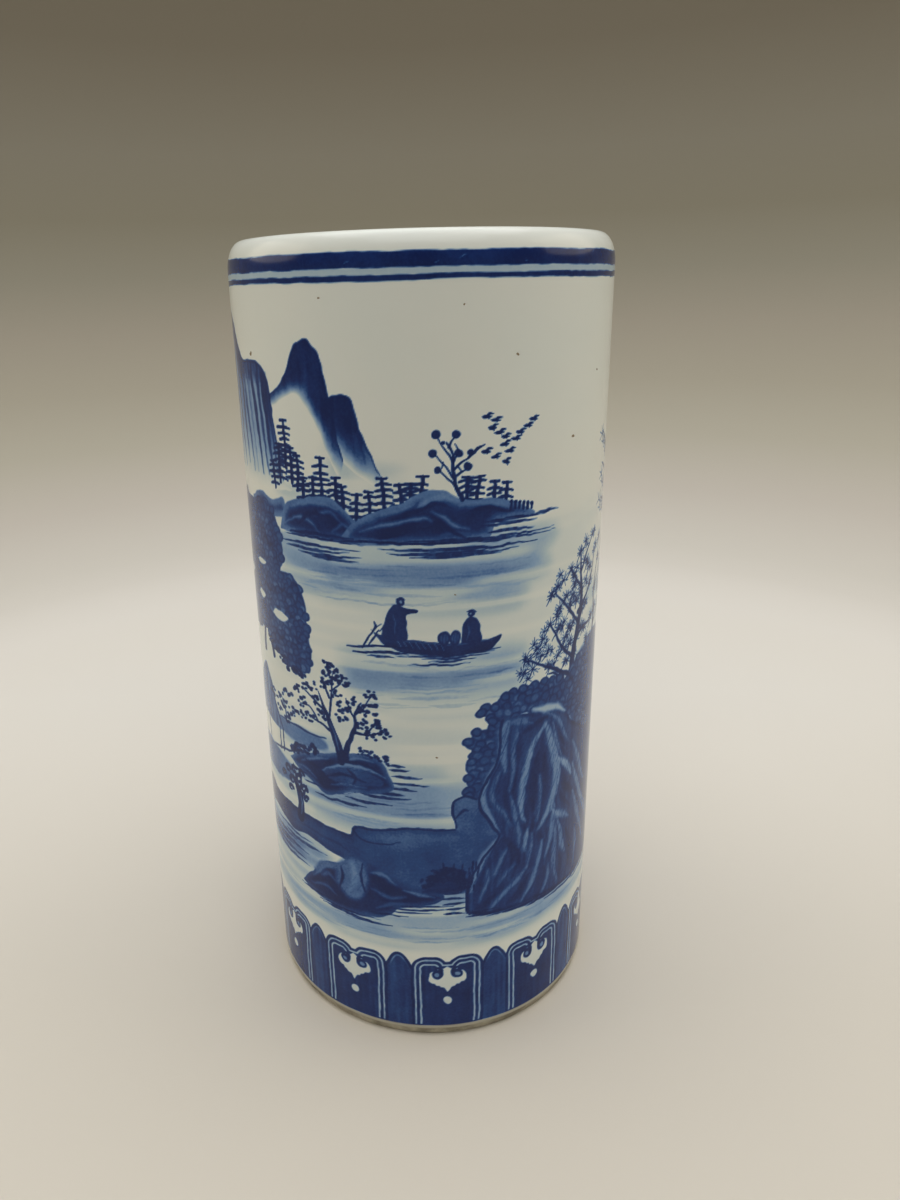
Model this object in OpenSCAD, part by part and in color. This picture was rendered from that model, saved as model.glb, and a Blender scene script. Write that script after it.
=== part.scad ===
// A tall cylindrical porcelain pot for calligraphy brushes, with underglaze cobalt
// decoration. The axis is +Z and the pot stands on z = 0. Millimetres.

/* [Pot] */
// Height from the foot to the crown of the lip
pot_h = 282; // [220:1:340]
// Outer diameter of the glazed wall
pot_d = 130; // [110:1:160]
// Thickness of the wall with its glaze
wall_t = 8; // [7:0.5:11]

/* [Lip] */
// Height of the rounded lip above the straight wall
lip_h = 9.5; // [7:0.5:10]
// Distance that the lip rounds in from the outside, up to its crown
lip_in = 5; // [4:0.5:5.5]

/* [Foot and floor] */
// Height of the foot ring
foot_h = 7; // [6:0.5:12]
// Width of the foot ring, from the straight wall to its hollow
foot_w = 11; // [10:0.5:16]
// Height at which the glaze of the wall ends on the foot
glaze_stop = 3.5; // [2:0.5:4.5]
// Width of the bevel under the glaze
bevel_w = 1; // [0.5:0.25:3]
// Thickness of the floor slab
floor_t = 8; // [6:0.5:12]

/* [Coats] */
// Thickness of every glaze coat
glaze_t = 0.4; // [0.3:0.05:0.6]
// Thickness of the cobalt coats
cobalt_t = 0.2; // [0.1:0.05:0.25]

/* [Painted rings] */
// Depth of the broad rim ring below the crown of the lip
band_drop = 5.8; // [5.8:0.1:9]
// Height of the broad rim ring
band_h = 4.2; // [3:0.1:6]
// Plain gap between the two rim rings
band_gap = 1.9; // [1.5:0.1:3]
// Height of the narrow rim ring
line_h = 1.4; // [1:0.1:2]
// Lower edge of the painted border
border_z = 5; // [5:0.5:8]
// Height of the painted border
border_h = 31; // [24:1:44]

/* [Hidden] */
$fn = 160;

// Number of flats along each quarter of the lip
LIP_STEPS = 10;
// Height of the small bevel where the foot meets the table
TOE_H = 0.8;
// Set-back of that bevel
TOE_IN = 0.5;

outer_r = pot_d / 2;
inner_r = outer_r - wall_t;
crown_r = outer_r - lip_in;
lip_out = wall_t - lip_in;
lip_z = pot_h - lip_h;
foot_in_r = outer_r - foot_w;
floor_z = foot_h + floor_t;
band_top = pot_h - band_drop;
band_z = band_top - band_h;
line_top = band_z - band_gap;
line_z = line_top - line_h;
border_top = border_z + border_h;

PASTE = "gainsboro";
BARE_PASTE = "tan";
GLAZE = "lavender";
COBALT = "midnightblue";

// Outside radius of the pot at height z, set in by the thickness t: straight up to the lip,
// then a quarter of an ellipse up to the crown
function outside(z, t) =
  let (rise = lip_h - t, up = min(max(z - lip_z, 0), rise) / rise)
  crown_r + (lip_in - t) * sqrt(1 - up * up);

// Heights from z0 to z1, close together near the crown, for a coat set in by t
function heights(z0, z1, t) =
  let (
    top = lip_z + lip_h - t,
    a0 = asin(max(z0 - lip_z, 0) / (top - lip_z)),
    a1 = asin(min(max(z1 - lip_z, 0) / (top - lip_z), 1))
  )
  a1 <= a0 ? [z0, z1]
  : concat(
      z0 < lip_z ? [z0] : [],
      [for (i = [0:LIP_STEPS]) lip_z + (top - lip_z) * sin(a0 + (a1 - a0) * i / LIP_STEPS)]
    );

// Outline of the outside from z0 up to z1, set in by t
function outside_line(z0, z1, t) = [for (z = heights(z0, z1, t)) [outside(z, t), z]];

// Outline of the inside of the lip, down from the crown to the straight inner wall, for a
// wall that is thinner by t on this side
function inside_line(t) = [
  for (i = [1:LIP_STEPS])
    let (a = 90 * i / LIP_STEPS)
    [crown_r - (lip_out - t) * sin(a), lip_z + (lip_h - t) * cos(a)]
];

// The same outline from the bottom up
function reversed(points) = [for (i = [len(points) - 1:-1:0]) points[i]];

// Turns an outline of [radius, height] points round the axis
module turned(points) {
  rotate_extrude() polygon(points);
}

// Turned wall of the pot, open at both ends, with the rounded lip drawn up from it
module wall_tube() {
  color(PASTE)
  turned(concat(
    outside_line(foot_h, pot_h - glaze_t, glaze_t),
    inside_line(glaze_t),
    [[inner_r + glaze_t, foot_h]]
  ));
}

// Round slab let into the foot of the wall, on the ledge of the foot ring
module floor_slab() {
  color(PASTE)
  translate([0, 0, foot_h])
  cylinder(h = floor_t, r = inner_r + glaze_t);
}

// Foot ring that the pot stands on: its bevelled outside is wiped clean of glaze
module foot_ring() {
  color(BARE_PASTE)
  turned([
    [foot_in_r + glaze_t + TOE_IN, 0],
    [outer_r - bevel_w - TOE_IN, 0],
    [outer_r - bevel_w, TOE_H],
    [outer_r, glaze_stop],
    [outer_r - glaze_t, glaze_stop],
    [outer_r - glaze_t, foot_h],
    [foot_in_r + glaze_t, foot_h],
    [foot_in_r + glaze_t, TOE_H]
  ]);
}

// Clear glaze of the outside, from the bevel of the foot to the crown, with a bed for each
// painted ring
module outer_glaze() {
  color(GLAZE)
  turned(concat(
    [
      [outer_r, glaze_stop],
      [outer_r, border_z],
      [outer_r - cobalt_t, border_z],
      [outer_r - cobalt_t, border_top],
      [outer_r, border_top],
      [outer_r, line_z],
      [outer_r - cobalt_t, line_z],
      [outer_r - cobalt_t, line_top],
      [outer_r, line_top],
      [outside(band_z, 0), band_z]
    ],
    outside_line(band_z, band_top, cobalt_t),
    outside_line(band_top, pot_h, 0),
    reversed(outside_line(glaze_stop, pot_h - glaze_t, glaze_t))
  ));
}

// Clear glaze of the inside, from the crown down the wall and across the floor
module inner_glaze() {
  color(GLAZE)
  turned(concat(
    [[crown_r, pot_h]],
    inside_line(0),
    [
      [inner_r, floor_z + glaze_t],
      [0, floor_z + glaze_t],
      [0, floor_z],
      [inner_r + glaze_t, floor_z]
    ],
    reversed(inside_line(glaze_t)),
    [[crown_r, pot_h - glaze_t]]
  ));
}

// Thin glaze in the hollow of the foot: under the floor and down the inside of the ring
module underside_glaze() {
  color(GLAZE)
  turned([
    [0, foot_h - glaze_t],
    [foot_in_r, foot_h - glaze_t],
    [foot_in_r, TOE_H],
    [foot_in_r + glaze_t, TOE_H],
    [foot_in_r + glaze_t, foot_h],
    [0, foot_h]
  ]);
}

// Broad cobalt ring just under the lip
module rim_band() {
  color(COBALT)
  turned(concat(
    outside_line(band_z, band_top, 0),
    reversed(outside_line(band_z, band_top, cobalt_t))
  ));
}

// Straight cobalt ring from z0 up to z1, laid flush in its bed in the glaze
module painted_ring(z0, z1) {
  color(COBALT)
  turned([
    [outer_r - cobalt_t, z0],
    [outer_r, z0],
    [outer_r, z1],
    [outer_r - cobalt_t, z1]
  ]);
}

// Narrow cobalt ring under the broad one
module rim_line() {
  painted_ring(line_z, line_top);
}

// Cobalt ground of the border round the foot
module lappet_border() {
  painted_ring(border_z, border_top);
}

wall_tube();
floor_slab();
foot_ring();
outer_glaze();
inner_glaze();
underside_glaze();
rim_band();
rim_line();
lappet_border();
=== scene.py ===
"""Visual model of a tall porcelain brush pot with underglaze cobalt painting.

The pot is a straight cylinder with a rounded lip.  Its painting is worked out on the
unrolled wall: s runs round the wall in millimetres from the middle of the boat scene,
towards the right, and h is the height in millimetres above the lower edge of the painted
border.  Every brush mark is a function of (s, h) on one fine grid, which gives the load of
cobalt at each grid point.  Soft washes are an attribute of the glazed wall.  Every crisp
motif becomes a thin closed film of glazed pigment of its own on the wall.
"""

import logging
import math
from dataclasses import dataclass, field
from enum import Enum
from typing import Callable, Optional, Sequence, Union

import bpy
import numpy as np
from mathutils import Matrix, Vector


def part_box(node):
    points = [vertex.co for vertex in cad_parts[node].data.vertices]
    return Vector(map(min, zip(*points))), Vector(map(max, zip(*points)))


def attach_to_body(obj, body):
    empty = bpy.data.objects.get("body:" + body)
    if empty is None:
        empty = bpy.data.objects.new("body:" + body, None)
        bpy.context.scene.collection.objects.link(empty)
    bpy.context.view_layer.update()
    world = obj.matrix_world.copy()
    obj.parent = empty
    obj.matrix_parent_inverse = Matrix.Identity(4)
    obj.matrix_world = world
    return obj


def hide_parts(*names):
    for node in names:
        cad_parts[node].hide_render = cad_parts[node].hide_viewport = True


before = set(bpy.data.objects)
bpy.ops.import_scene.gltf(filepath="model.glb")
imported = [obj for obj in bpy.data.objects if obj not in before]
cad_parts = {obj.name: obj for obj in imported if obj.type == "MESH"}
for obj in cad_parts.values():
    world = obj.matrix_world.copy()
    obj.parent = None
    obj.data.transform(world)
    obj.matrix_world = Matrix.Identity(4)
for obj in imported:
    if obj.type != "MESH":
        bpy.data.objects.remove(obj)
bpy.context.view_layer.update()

LOG = logging.getLogger("brush_pot")
MM = 0.001
BODY = "root"
# Iron specks on the wall: s, h and radius in millimetres
IRON_SPOTS = (
    (-63.0, 243.4, 0.9), (28.4, 243.0, 0.55), (52.0, 217.0, 0.7), (2.6, 115.0, 0.45), (-30.0, 259.5, 0.4),
    (12.0, 257.0, 0.35), (66.0, 236.0, 0.5), (9.0, 172.0, 0.35), (105.0, 251.0, 0.5), (150.0, 259.0, 0.6),
    (-170.0, 228.0, 0.5), (-120.0, 262.0, 0.4), (195.0, 176.0, 0.5), (116.0, 60.0, 0.45))

Array = np.ndarray
Point = tuple[float, float]
Point3 = tuple[float, float, float]
Path = Sequence[Point]
Width = Union[float, Sequence[float]]
Outline = tuple[Point, ...]
Rows = tuple[tuple[float, ...], ...]
Tone = Union[float, Callable[[Array, Array, Array], Array]]
Piece = bpy.types.Object
Tree = bpy.types.NodeTree
Socket = bpy.types.NodeSocket


def smooth(x: Array, low: float, high: float) -> Array:
    """Smooth step: 0 below low, 1 above high, 3t^2 - 2t^3 between them."""
    t = np.clip((x - low) / (high - low), 0.0, 1.0)
    return t * t * (3.0 - 2.0 * t)


def curve(points: Sequence[Point], steps: int = 6) -> Array:
    """A smooth line through given points, by the Catmull-Rom formula.

    Args:
        points: Corner points of the line, (s, h) in millimetres.
        steps: Samples on each span.

    Returns:
        The samples, one row each.
    """
    p = np.asarray(points, float)
    if len(p) < 3:
        return p
    p = np.vstack([2 * p[0] - p[1], p, 2 * p[-1] - p[-2]])
    t = np.linspace(0.0, 1.0, steps, endpoint=False)[:, None, None]
    a, b, c, d = (p[k:len(p) - 3 + k][None] for k in range(4))
    spans = 0.5 * (2 * b + (c - a) * t + (2 * a - 5 * b + 4 * c - d) * t ** 2
                   + (3 * b - a - 3 * c + d) * t ** 3)
    return np.vstack([spans.transpose(1, 0, 2).reshape(-1, p.shape[1]), p[-2]])


# ---------------- the pot's shape


@dataclass(frozen=True)
class PotShape:
    """Sizes of the pot in millimetres, taken from the CAD frame."""

    outer_r: float
    inner_r: float
    crown_r: float
    foot_in_r: float
    height: float
    glaze_stop: float
    foot_h: float
    floor_z: float
    paint_z: float
    border_h: float
    band: tuple[float, float]
    line: tuple[float, float]
    lip_h: float = 9.5

    @classmethod
    def from_frame(cls) -> "PotShape":
        """Reads the sizes from the boxes of the CAD nodes."""
        def span(node: str, axis: int) -> tuple[float, float]:
            """Lowest and highest place of a node along one axis, in millimetres."""
            low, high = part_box(node)
            return low[axis] / MM, high[axis] / MM

        return cls(
            outer_r=round(span("outer_glaze", 1)[1]), inner_r=round(span("floor_slab", 1)[1] - 0.4),
            crown_r=round(span("inner_glaze", 1)[1]), foot_in_r=round(span("underside_glaze", 1)[1] - 0.4),
            height=span("outer_glaze", 2)[1], glaze_stop=span("outer_glaze", 2)[0],
            foot_h=span("foot_ring", 2)[1], floor_z=span("inner_glaze", 2)[0] + 0.4,
            paint_z=span("lappet_border", 2)[0],
            border_h=span("lappet_border", 2)[1] - span("lappet_border", 2)[0], band=span("rim_band", 2),
            line=span("rim_line", 2),)

    @property
    def girth(self) -> float:
        """Length of the unrolled wall."""
        return 2 * math.pi * self.outer_r

    @property
    def lip_z(self) -> float:
        """Height at which the lip begins to round in."""
        return self.height - self.lip_h

    def plain_radius(self, z: Array) -> Array:
        """Radius of a perfect pot: straight, then a quarter ellipse up to the crown."""
        up = np.clip((z - self.lip_z) / self.lip_h, 0.0, 1.0)
        return self.crown_r + (self.outer_r - self.crown_r) * np.sqrt(1 - up ** 2)

    def oval(self, turn: Array, z: Array) -> Array:
        """How far the fired wall strays from round: two and three slow waves round it."""
        return 0.07 * np.sin(2 * turn + 0.4 + z / 160) + 0.03 * np.sin(3 * turn - z / 90) - 0.1

    def sway(self, turn: Array, radius: Array, z: Array) -> Array:
        """The strayed wall with its faint turning marks, which end under the lip."""
        marks = np.sin(z / 2.7 + 1.4 * np.sin(turn + 0.5)) * (1 - smooth(z, 262, 272))
        return self.oval(turn, z) + 0.010 * marks + 0 * radius

    def radius(self, turn: Array, z: Array) -> Array:
        """Outside radius of the fired pot."""
        return self.plain_radius(z) + self.sway(turn, 0.0, z)

    def place(self, turn: Array, z: Array, lift: Array) -> Array:
        """Points on the outside, lift millimetres proud of it, in metres."""
        r = self.radius(turn, z) + lift
        return np.stack([r * np.sin(turn), -r * np.cos(turn), z + 0 * r], -1) * MM

    def facing(self, turn: Array, z: Array) -> Array:
        """Unit outward directions of the outside, from the slope of its radius."""
        step = 1e-3
        slope_z = (self.radius(turn, z + step) - self.radius(turn, z - step)) / (2 * step)
        slope_t = (self.radius(turn + step, z) - self.radius(turn - step, z)) / (2 * step)
        around = -slope_t / self.outer_r
        n = np.stack([np.sin(turn) + around * np.cos(turn),
                      -np.cos(turn) + around * np.sin(turn), -slope_z + 0 * turn], -1)
        return n / np.linalg.norm(n, axis=-1, keepdims=True)


# ---------------- meshes


def mesh_object(name: str, verts: Array, quads: Array, tris: Array, facing: Optional[Array] = None) -> Piece:
    """Makes a smooth mesh object at the origin from whole arrays.

    Args:
        name: Piece name.
        verts: Points in metres.  Those that no face uses are left out.
        quads: Four point numbers a row.
        tris: Three point numbers a row.
        facing: Normal at each point, where the mesh's own is not wanted.

    Returns:
        The object, linked to the scene.
    """
    used, loops = np.unique(np.concatenate([quads.ravel(), tris.ravel()]), return_inverse=True)
    starts = np.concatenate([np.arange(quads.size // 4) * 4, quads.size + np.arange(tris.size // 3) * 3])
    mesh = bpy.data.meshes.new(name)
    mesh.vertices.add(len(used))
    mesh.vertices.foreach_set("co", verts[used].astype(np.float32).ravel())
    mesh.loops.add(len(loops))
    mesh.loops.foreach_set("vertex_index", loops.astype(np.int32))
    mesh.polygons.add(len(starts))
    mesh.polygons.foreach_set("loop_start", starts.astype(np.int32))
    mesh.update(calc_edges=True)
    if facing is None:
        mesh.polygons.foreach_set("use_smooth", np.ones(len(starts), bool))
    else:
        held = mesh.attributes.new("custom_normal", "FLOAT_VECTOR", "CORNER")
        held.data.foreach_set("vector", facing[used][loops].astype(np.float32).ravel())
        mesh.update()
    obj = bpy.data.objects.new(name, mesh)
    bpy.context.scene.collection.objects.link(obj)
    return obj


def set_load(obj: Piece, load: Array) -> None:
    """Stores the load of cobalt at each point of a mesh."""
    held = obj.data.attributes.new("cobalt", "FLOAT", "POINT")
    held.data.foreach_set("value", np.asarray(load, np.float32).ravel())


def lathe(name: str, profile: Array, columns: int, closed: bool = True,
          sway: Optional[Callable[[Array, Array, Array], Array]] = None) -> Piece:
    """Turns an outline of (radius, height) points round the axis.

    The outline runs up the outside, so that faces point outwards.  A point of radius 0
    becomes one shared pole.

    Args:
        name: Piece name.
        profile: Outline in millimetres.
        columns: Steps round the axis.
        closed: Whether the last point joins the first.
        sway: Adds an unevenness to the radius, from (turn, radius, height).

    Returns:
        The object.
    """
    turn = np.linspace(0, 2 * np.pi, columns, endpoint=False)[None]
    r, z = profile[:, :1], profile[:, 1:]
    radius = r + (sway(turn, r, z) if sway else 0.0) * (r > 0) + 0 * turn
    verts = np.stack([radius * np.sin(turn), -radius * np.cos(turn), z + 0 * radius], -1)
    grid = np.arange(len(profile) * columns).reshape(len(profile), columns)
    poles = np.flatnonzero(profile[:, 0] == 0)
    grid[poles] = grid[poles, :1]
    low = grid if closed else grid[:-1]
    high = np.roll(grid, -1, 0) if closed else grid[1:]
    ring = np.stack([low, np.roll(low, -1, 1), np.roll(high, -1, 1), high], -1).reshape(-1, 4)
    flat_low, flat_high = ring[:, 0] == ring[:, 1], ring[:, 2] == ring[:, 3]
    quads = ring[~flat_low & ~flat_high]
    tris = np.vstack([ring[flat_low & ~flat_high][:, [0, 2, 3]], ring[flat_high & ~flat_low][:, [0, 1, 2]]])
    return mesh_object(name, verts.reshape(-1, 3) * MM, quads, tris)


# ---------------- painting


def gap_to(path: Array, s: Array, h: Array) -> Array:
    """Distance of each point to a line of straight spans, in millimetres."""
    gap = np.full(np.broadcast(s, h).shape, 1e9)
    for a, b in zip(path[:-1], path[1:]):
        d = b - a
        t = np.clip(((s - a[0]) * d[0] + (h - a[1]) * d[1]) / max(d @ d, 1e-9), 0, 1)
        gap = np.minimum(gap, (s - a[0] - t * d[0]) ** 2 + (h - a[1] - t * d[1]) ** 2)
    return np.sqrt(gap)


def shade(edge: float, gain: float, near: float, far: float) -> Tone:
    """A tone that runs from edge, near mm inside the outline, to edge + gain, far mm inside."""
    return lambda s, h, depth: edge + gain * smooth(depth, near, far)


def within(ring: Array, s: Array, h: Array) -> Array:
    """Whether each point is inside a closed outline, by counting crossings."""
    inside = np.zeros(np.broadcast(s, h).shape, bool)
    for a, b in zip(ring[:-1], ring[1:]):
        if a[1] != b[1]:
            at = a[0] + (h - a[1]) / (b[1] - a[1]) * (b[0] - a[0])
            inside ^= ((h >= a[1]) != (h >= b[1])) & (s < at)
    return inside


class Canvas:
    """The unrolled wall as a grid that holds the load of cobalt at every point."""

    def __init__(self, pot: PotShape, pitch: float = 0.35, fine_half: float = 92.0,
                 back_pitch: float = 0.62, seed: int = 11) -> None:
        """Sets out the grid.

        Args:
            pot: The pot.
            pitch: Grid step in millimetres up the wall, and round the front.
            fine_half: Half the width of the front.
            back_pitch: Grid step round the back.
            seed: Seed of the hand's unevenness.
        """
        self.pot = pot
        half = pot.girth / 2
        front = np.arange(-fine_half, fine_half, pitch)
        back = np.linspace(fine_half, 2 * half - fine_half,
                           int((2 * half - 2 * fine_half) / back_pitch), endpoint=False)
        self.s = np.sort((np.concatenate([front, back]) + half) % (2 * half) - half)
        self.h = np.arange(-0.8, pot.band[1] - pot.paint_z + 0.9, pitch)
        self.rng = np.random.default_rng(seed)
        shape = (len(self.h), len(self.s))
        self.wash = np.zeros(shape, np.float32)
        self.ink = self.wash
        self.owner = np.full(shape, -1, np.int16)
        self.names: list[str] = []
        self.mottle = self.noise(9.0, 7.0)
        self.upright = self.noise(1.1, 14.0)
        self.level = self.noise(26.0, 2.6)
        self.grain = self.noise(1.3, 1.3)
        self.shake_s = 0.8 * (self.noise(7.0, 7.0) - 0.5) + 0.45 * (self.noise(2, 2) - 0.5)
        self.shake_h = 0.8 * (self.noise(7.0, 7.0) - 0.5) + 0.45 * (self.noise(2, 2) - 0.5)

    def noise(self, step_s: float, step_h: float) -> Array:
        """Smooth random field from 0 to 1 that closes round the pot.

        Random values stand on a coarse lattice and are blended between its points.

        Args:
            step_s: Lattice step round the wall in millimetres.
            step_h: Lattice step up the wall.

        Returns:
            The field on the whole grid.
        """
        across = max(4, round(self.pot.girth / step_s))
        up = math.ceil((self.h[-1] - self.h[0]) / step_h) + 2
        knots = self.rng.random((up, across))
        x = (self.s / self.pot.girth % 1.0) * across
        y = (self.h - self.h[0]) / step_h
        i, j = np.floor(y).astype(int), np.floor(x).astype(int) % across
        u, v = smooth(x - np.floor(x), 0, 1)[None], smooth(y - np.floor(y), 0, 1)[:, None]
        k = (j + 1) % across
        low = knots[i][:, j] * (1 - u) + knots[i][:, k] * u
        high = knots[i + 1][:, j] * (1 - u) + knots[i + 1][:, k] * u
        return (low * (1 - v) + high * v).astype(np.float32)

    def begin_ink(self) -> None:
        """Starts the crisp layer on top of the finished washes."""
        self.ink = self.wash.copy()

    def wash_at(self, s: Array, h: Array) -> Array:
        """Load of the soft layer at any points, blended between grid points."""
        half = self.pot.girth / 2
        y = np.clip((h - self.h[0]) / (self.h[1] - self.h[0]), 0, len(self.h) - 1.001)
        wide = np.concatenate([[self.s[-1] - 2 * half], self.s, [self.s[0] + 2 * half]])
        at = (s + half) % (2 * half) - half
        j = np.clip(np.searchsorted(wide, at) - 1, 0, len(wide) - 2)
        u = (at - wide[j]) / (wide[j + 1] - wide[j])
        i, v = y.astype(int), y - y.astype(int)
        a, b = (j - 1) % len(self.s), j % len(self.s)
        low = self.wash[i, a] * (1 - u) + self.wash[i, b] * u
        high = self.wash[i + 1, a] * (1 - u) + self.wash[i + 1, b] * u
        return (low * (1 - v) + high * v) * (h > self.h[0])


@dataclass
class Window:
    """The part of a canvas under one brush mark."""

    cells: tuple[Array, Array]
    s: Array
    h: Array


@dataclass
class Brush:
    """Paints one motif.  Its marks can be moved and mirrored round the wall."""

    canvas: Canvas
    name: str
    at: Point = (0.0, 0.0)
    mirror: bool = False
    seed: int = 1
    rng: np.random.Generator = field(init=False)
    number: int = field(init=False)

    def __post_init__(self) -> None:
        """Enters the motif's name in the canvas's list."""
        self.rng = np.random.default_rng(self.seed)
        if self.name not in self.canvas.names:
            self.canvas.names.append(self.name)
        self.number = self.canvas.names.index(self.name)

    def move(self, points: Path) -> Array:
        """Points of a mark, mirrored and moved to the motif's place."""
        p = np.array(points, float)
        return p * [-1 if self.mirror else 1, 1] + self.at

    def window(self, points: Array, reach: float, shake: float = 1.0) -> Window:
        """Grid points within reach of a mark, with the hand's unevenness added.

        Args:
            points: Points of the mark.
            reach: Margin round them in millimetres.
            shake: How much of the unevenness is added.

        Returns:
            The window.
        """
        c = self.canvas
        low, high = points.min(0) - reach, points.max(0) + reach
        middle, girth = (low[0] + high[0]) / 2, c.pot.girth
        local = (c.s - middle + girth / 2) % girth - girth / 2 + middle
        i = np.flatnonzero((c.h >= low[1]) & (c.h <= high[1]))
        j = np.flatnonzero((local >= low[0]) & (local <= high[0]))
        cells = np.ix_(i, j)
        return Window(cells, local[j][None] + shake * c.shake_s[cells],
                      c.h[i][:, None] + shake * c.shake_h[cells])

    def put(self, cells: tuple[Array, Array], cover: Array, load: Union[float, Array], opaque: bool) -> None:
        """Lays pigment where cover is 1: an opaque mark takes the place of what is under
        it, and a see-through one darkens it."""
        c = self.canvas
        under = c.ink[cells]
        if opaque:
            c.ink[cells] = under * (1 - cover) + cover * load
        else:
            c.ink[cells] = 1 - (1 - under) * (1 - cover * load)
        taken = (cover > 0.25) | ((cover > 0.01) & (c.owner[cells] < 0))
        c.owner[cells] = np.where(taken, self.number, c.owner[cells])

    def line(self, points: Path, width: Width, load: float = 0.92, soft: float = 0.35, opaque: bool = False,
             dry: float = 0.0) -> None:
        """A brush line: grid points nearer to it than half its width are painted.

        Args:
            points: Line, (s, h).
            width: Width in millimetres, or its values along the line.
            load: Load of cobalt.
            soft: Width of the edge's fade.
            opaque: Whether it covers what is under it.
            dry: How far the bristles open, from 0 to 1.
        """
        path = curve(self.move(points))
        widths = np.atleast_1d(np.asarray(width, float))
        half = np.interp(np.linspace(0, 1, len(path)), np.linspace(0, 1, len(widths)), widths) / 2
        w = self.window(path, half.max() + soft + 0.9)
        gap = np.full(w.s.shape, 1e3)
        for a, b, ra, rb in zip(path[:-1], path[1:], half[:-1], half[1:]):
            d = b - a
            t = np.clip(((w.s - a[0]) * d[0] + (w.h - a[1]) * d[1]) / max(d @ d, 1e-9), 0, 1)
            near = np.hypot(w.s - a[0] - t * d[0], w.h - a[1] - t * d[1])
            gap = np.minimum(gap, near - ra - (rb - ra) * t)
        cover = 1 - smooth(gap, -soft / 2, soft / 2)
        if dry:
            cover = cover * (1 - dry * smooth(self.canvas.grain[w.cells], 0.45, 0.7))
        self.put(w.cells, cover, load, opaque)

    def lines(self, paths: Sequence[Path], width: Width, load: float = 0.92, soft: float = 0.35) -> None:
        """Several lines in one style, given as in line."""
        for path in paths:
            self.line(path, width, load, soft)

    def lights(self, rows: Sequence[tuple], soft: float) -> None:
        """Pale strokes over the ground, each (points, width, load), thin at both ends."""
        for path, wide, load in rows:
            self.line(path, (0.4, wide * 1.5, wide * 1.4, 0.4), load, soft, opaque=True)

    def dab(self, at: Point, size: Union[float, Point], load: float = 0.92,
            soft: float = 0.35, opaque: bool = False, edge: float = 0.0) -> None:
        """One touch of the brush: an ellipse, darker at its edge where pigment pools.

        Args:
            at: Centre.
            size: Half width, or half width and half height.
            load: Load of cobalt.
            soft: Width of the edge's fade.
            opaque: Whether it covers what is under it.
            edge: Load that the edge has more than the middle.
        """
        a, b = (size, size) if np.isscalar(size) else size
        centre = self.move([at])
        w = self.window(centre, max(a, b) + soft + 0.6)
        out = np.hypot((w.s - centre[0, 0]) / a, (w.h - centre[0, 1]) / b)
        gap = (out - 1) * min(a, b)
        tone = load + edge * smooth(gap, -0.55 * min(a, b), -0.1 * min(a, b))
        self.put(w.cells, 1 - smooth(gap, -soft / 2, soft / 2), tone, opaque)

    def fill(self, outline: Path, tone: Tone = 0.8, soft: float = 0.4, opaque: bool = True,
             streaks: str = "mottle", rough: float = 0.12, rounded: bool = True) -> None:
        """A filled shape: grid points inside the outline are painted.

        Args:
            outline: Closed outline.
            tone: Load of cobalt, or a function of (s, h, depth inside the outline).
            soft: Width of the edge's fade.
            opaque: Whether it covers what is under it.
            streaks: The canvas's random field that the load follows.
            rough: How much it follows it.
            rounded: Whether the outline is a smooth curve.
        """
        ring = self.move([*outline, outline[0]])
        ring = curve(ring, 5) if rounded else ring
        w = self.window(ring, soft + 0.9)
        depth = gap_to(ring, w.s, w.h) * np.where(within(ring, w.s, w.h), 1, -1)
        if callable(tone):
            tone = tone((w.s - self.at[0]) * (-1 if self.mirror else 1), w.h - self.at[1], depth)
        load = tone * (1 - rough + 2 * rough * getattr(self.canvas, streaks)[w.cells])
        self.put(w.cells, smooth(depth, -soft / 2, soft / 2), np.clip(load, 0, 1), opaque)

    def soak(self, outline: Path, load: float, soft: float = 6.0, streaky: float = 0.55) -> None:
        """A wet wash in the soft layer, with faint level streaks.

        Args:
            outline: Closed outline.
            load: Load of cobalt.
            soft: Width of the edge's fade.
            streaky: How much the streaks show.
        """
        c = self.canvas
        ring = curve(self.move([*outline, outline[0]]), 5)
        w = self.window(ring, soft, 0.0)
        depth = gap_to(ring, w.s, w.h) * np.where(within(ring, w.s, w.h), 1, -1)
        thin = 1 - streaky * smooth(c.level[w.cells], 0.3, 0.8)
        cover = smooth(depth, -soft / 2, soft / 2) * thin * load
        c.wash[w.cells] = 1 - (1 - c.wash[w.cells]) * (1 - cover)

    def scatter(self, outline: Path, pitch: float) -> list[Point]:
        """Uneven points inside an outline, about a pitch apart, from the top down."""
        ring = curve([*outline, outline[0]], 5)
        low, high = ring.min(0), ring.max(0)
        s, h = np.meshgrid(np.arange(low[0], high[0], pitch), np.arange(low[1], high[1], pitch * 0.87))
        s = s + pitch / 2 * (np.arange(len(s)) % 2)[:, None]
        s = s + self.rng.uniform(-0.3, 0.3, s.shape) * pitch
        h = h + self.rng.uniform(-0.3, 0.3, h.shape) * pitch
        keep = within(ring, s, h)
        found = np.stack([s[keep], h[keep]], -1)
        return [tuple(p) for p in found[np.argsort(-found[:, 1])]]

    def scales(self, outline: Path, size: float, load: float = 0.58,
               edge: float = 0.34, pitch: float = 1.35) -> None:
        """Foliage of overlapping round touches, each with a dark rim.

        Args:
            outline: Closed outline of the foliage.
            size: Radius of a touch.
            load: Load in its middle.
            edge: Load that the rim has more.
            pitch: Spacing of the touches, in radii.
        """
        for at in self.scatter(outline, size * pitch):
            r = size * self.rng.uniform(0.8, 1.15)
            tone = load + self.rng.uniform(-0.08, 0.1)
            self.dab(at, (r, r * 0.86), tone, 0.4, True, edge)

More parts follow.
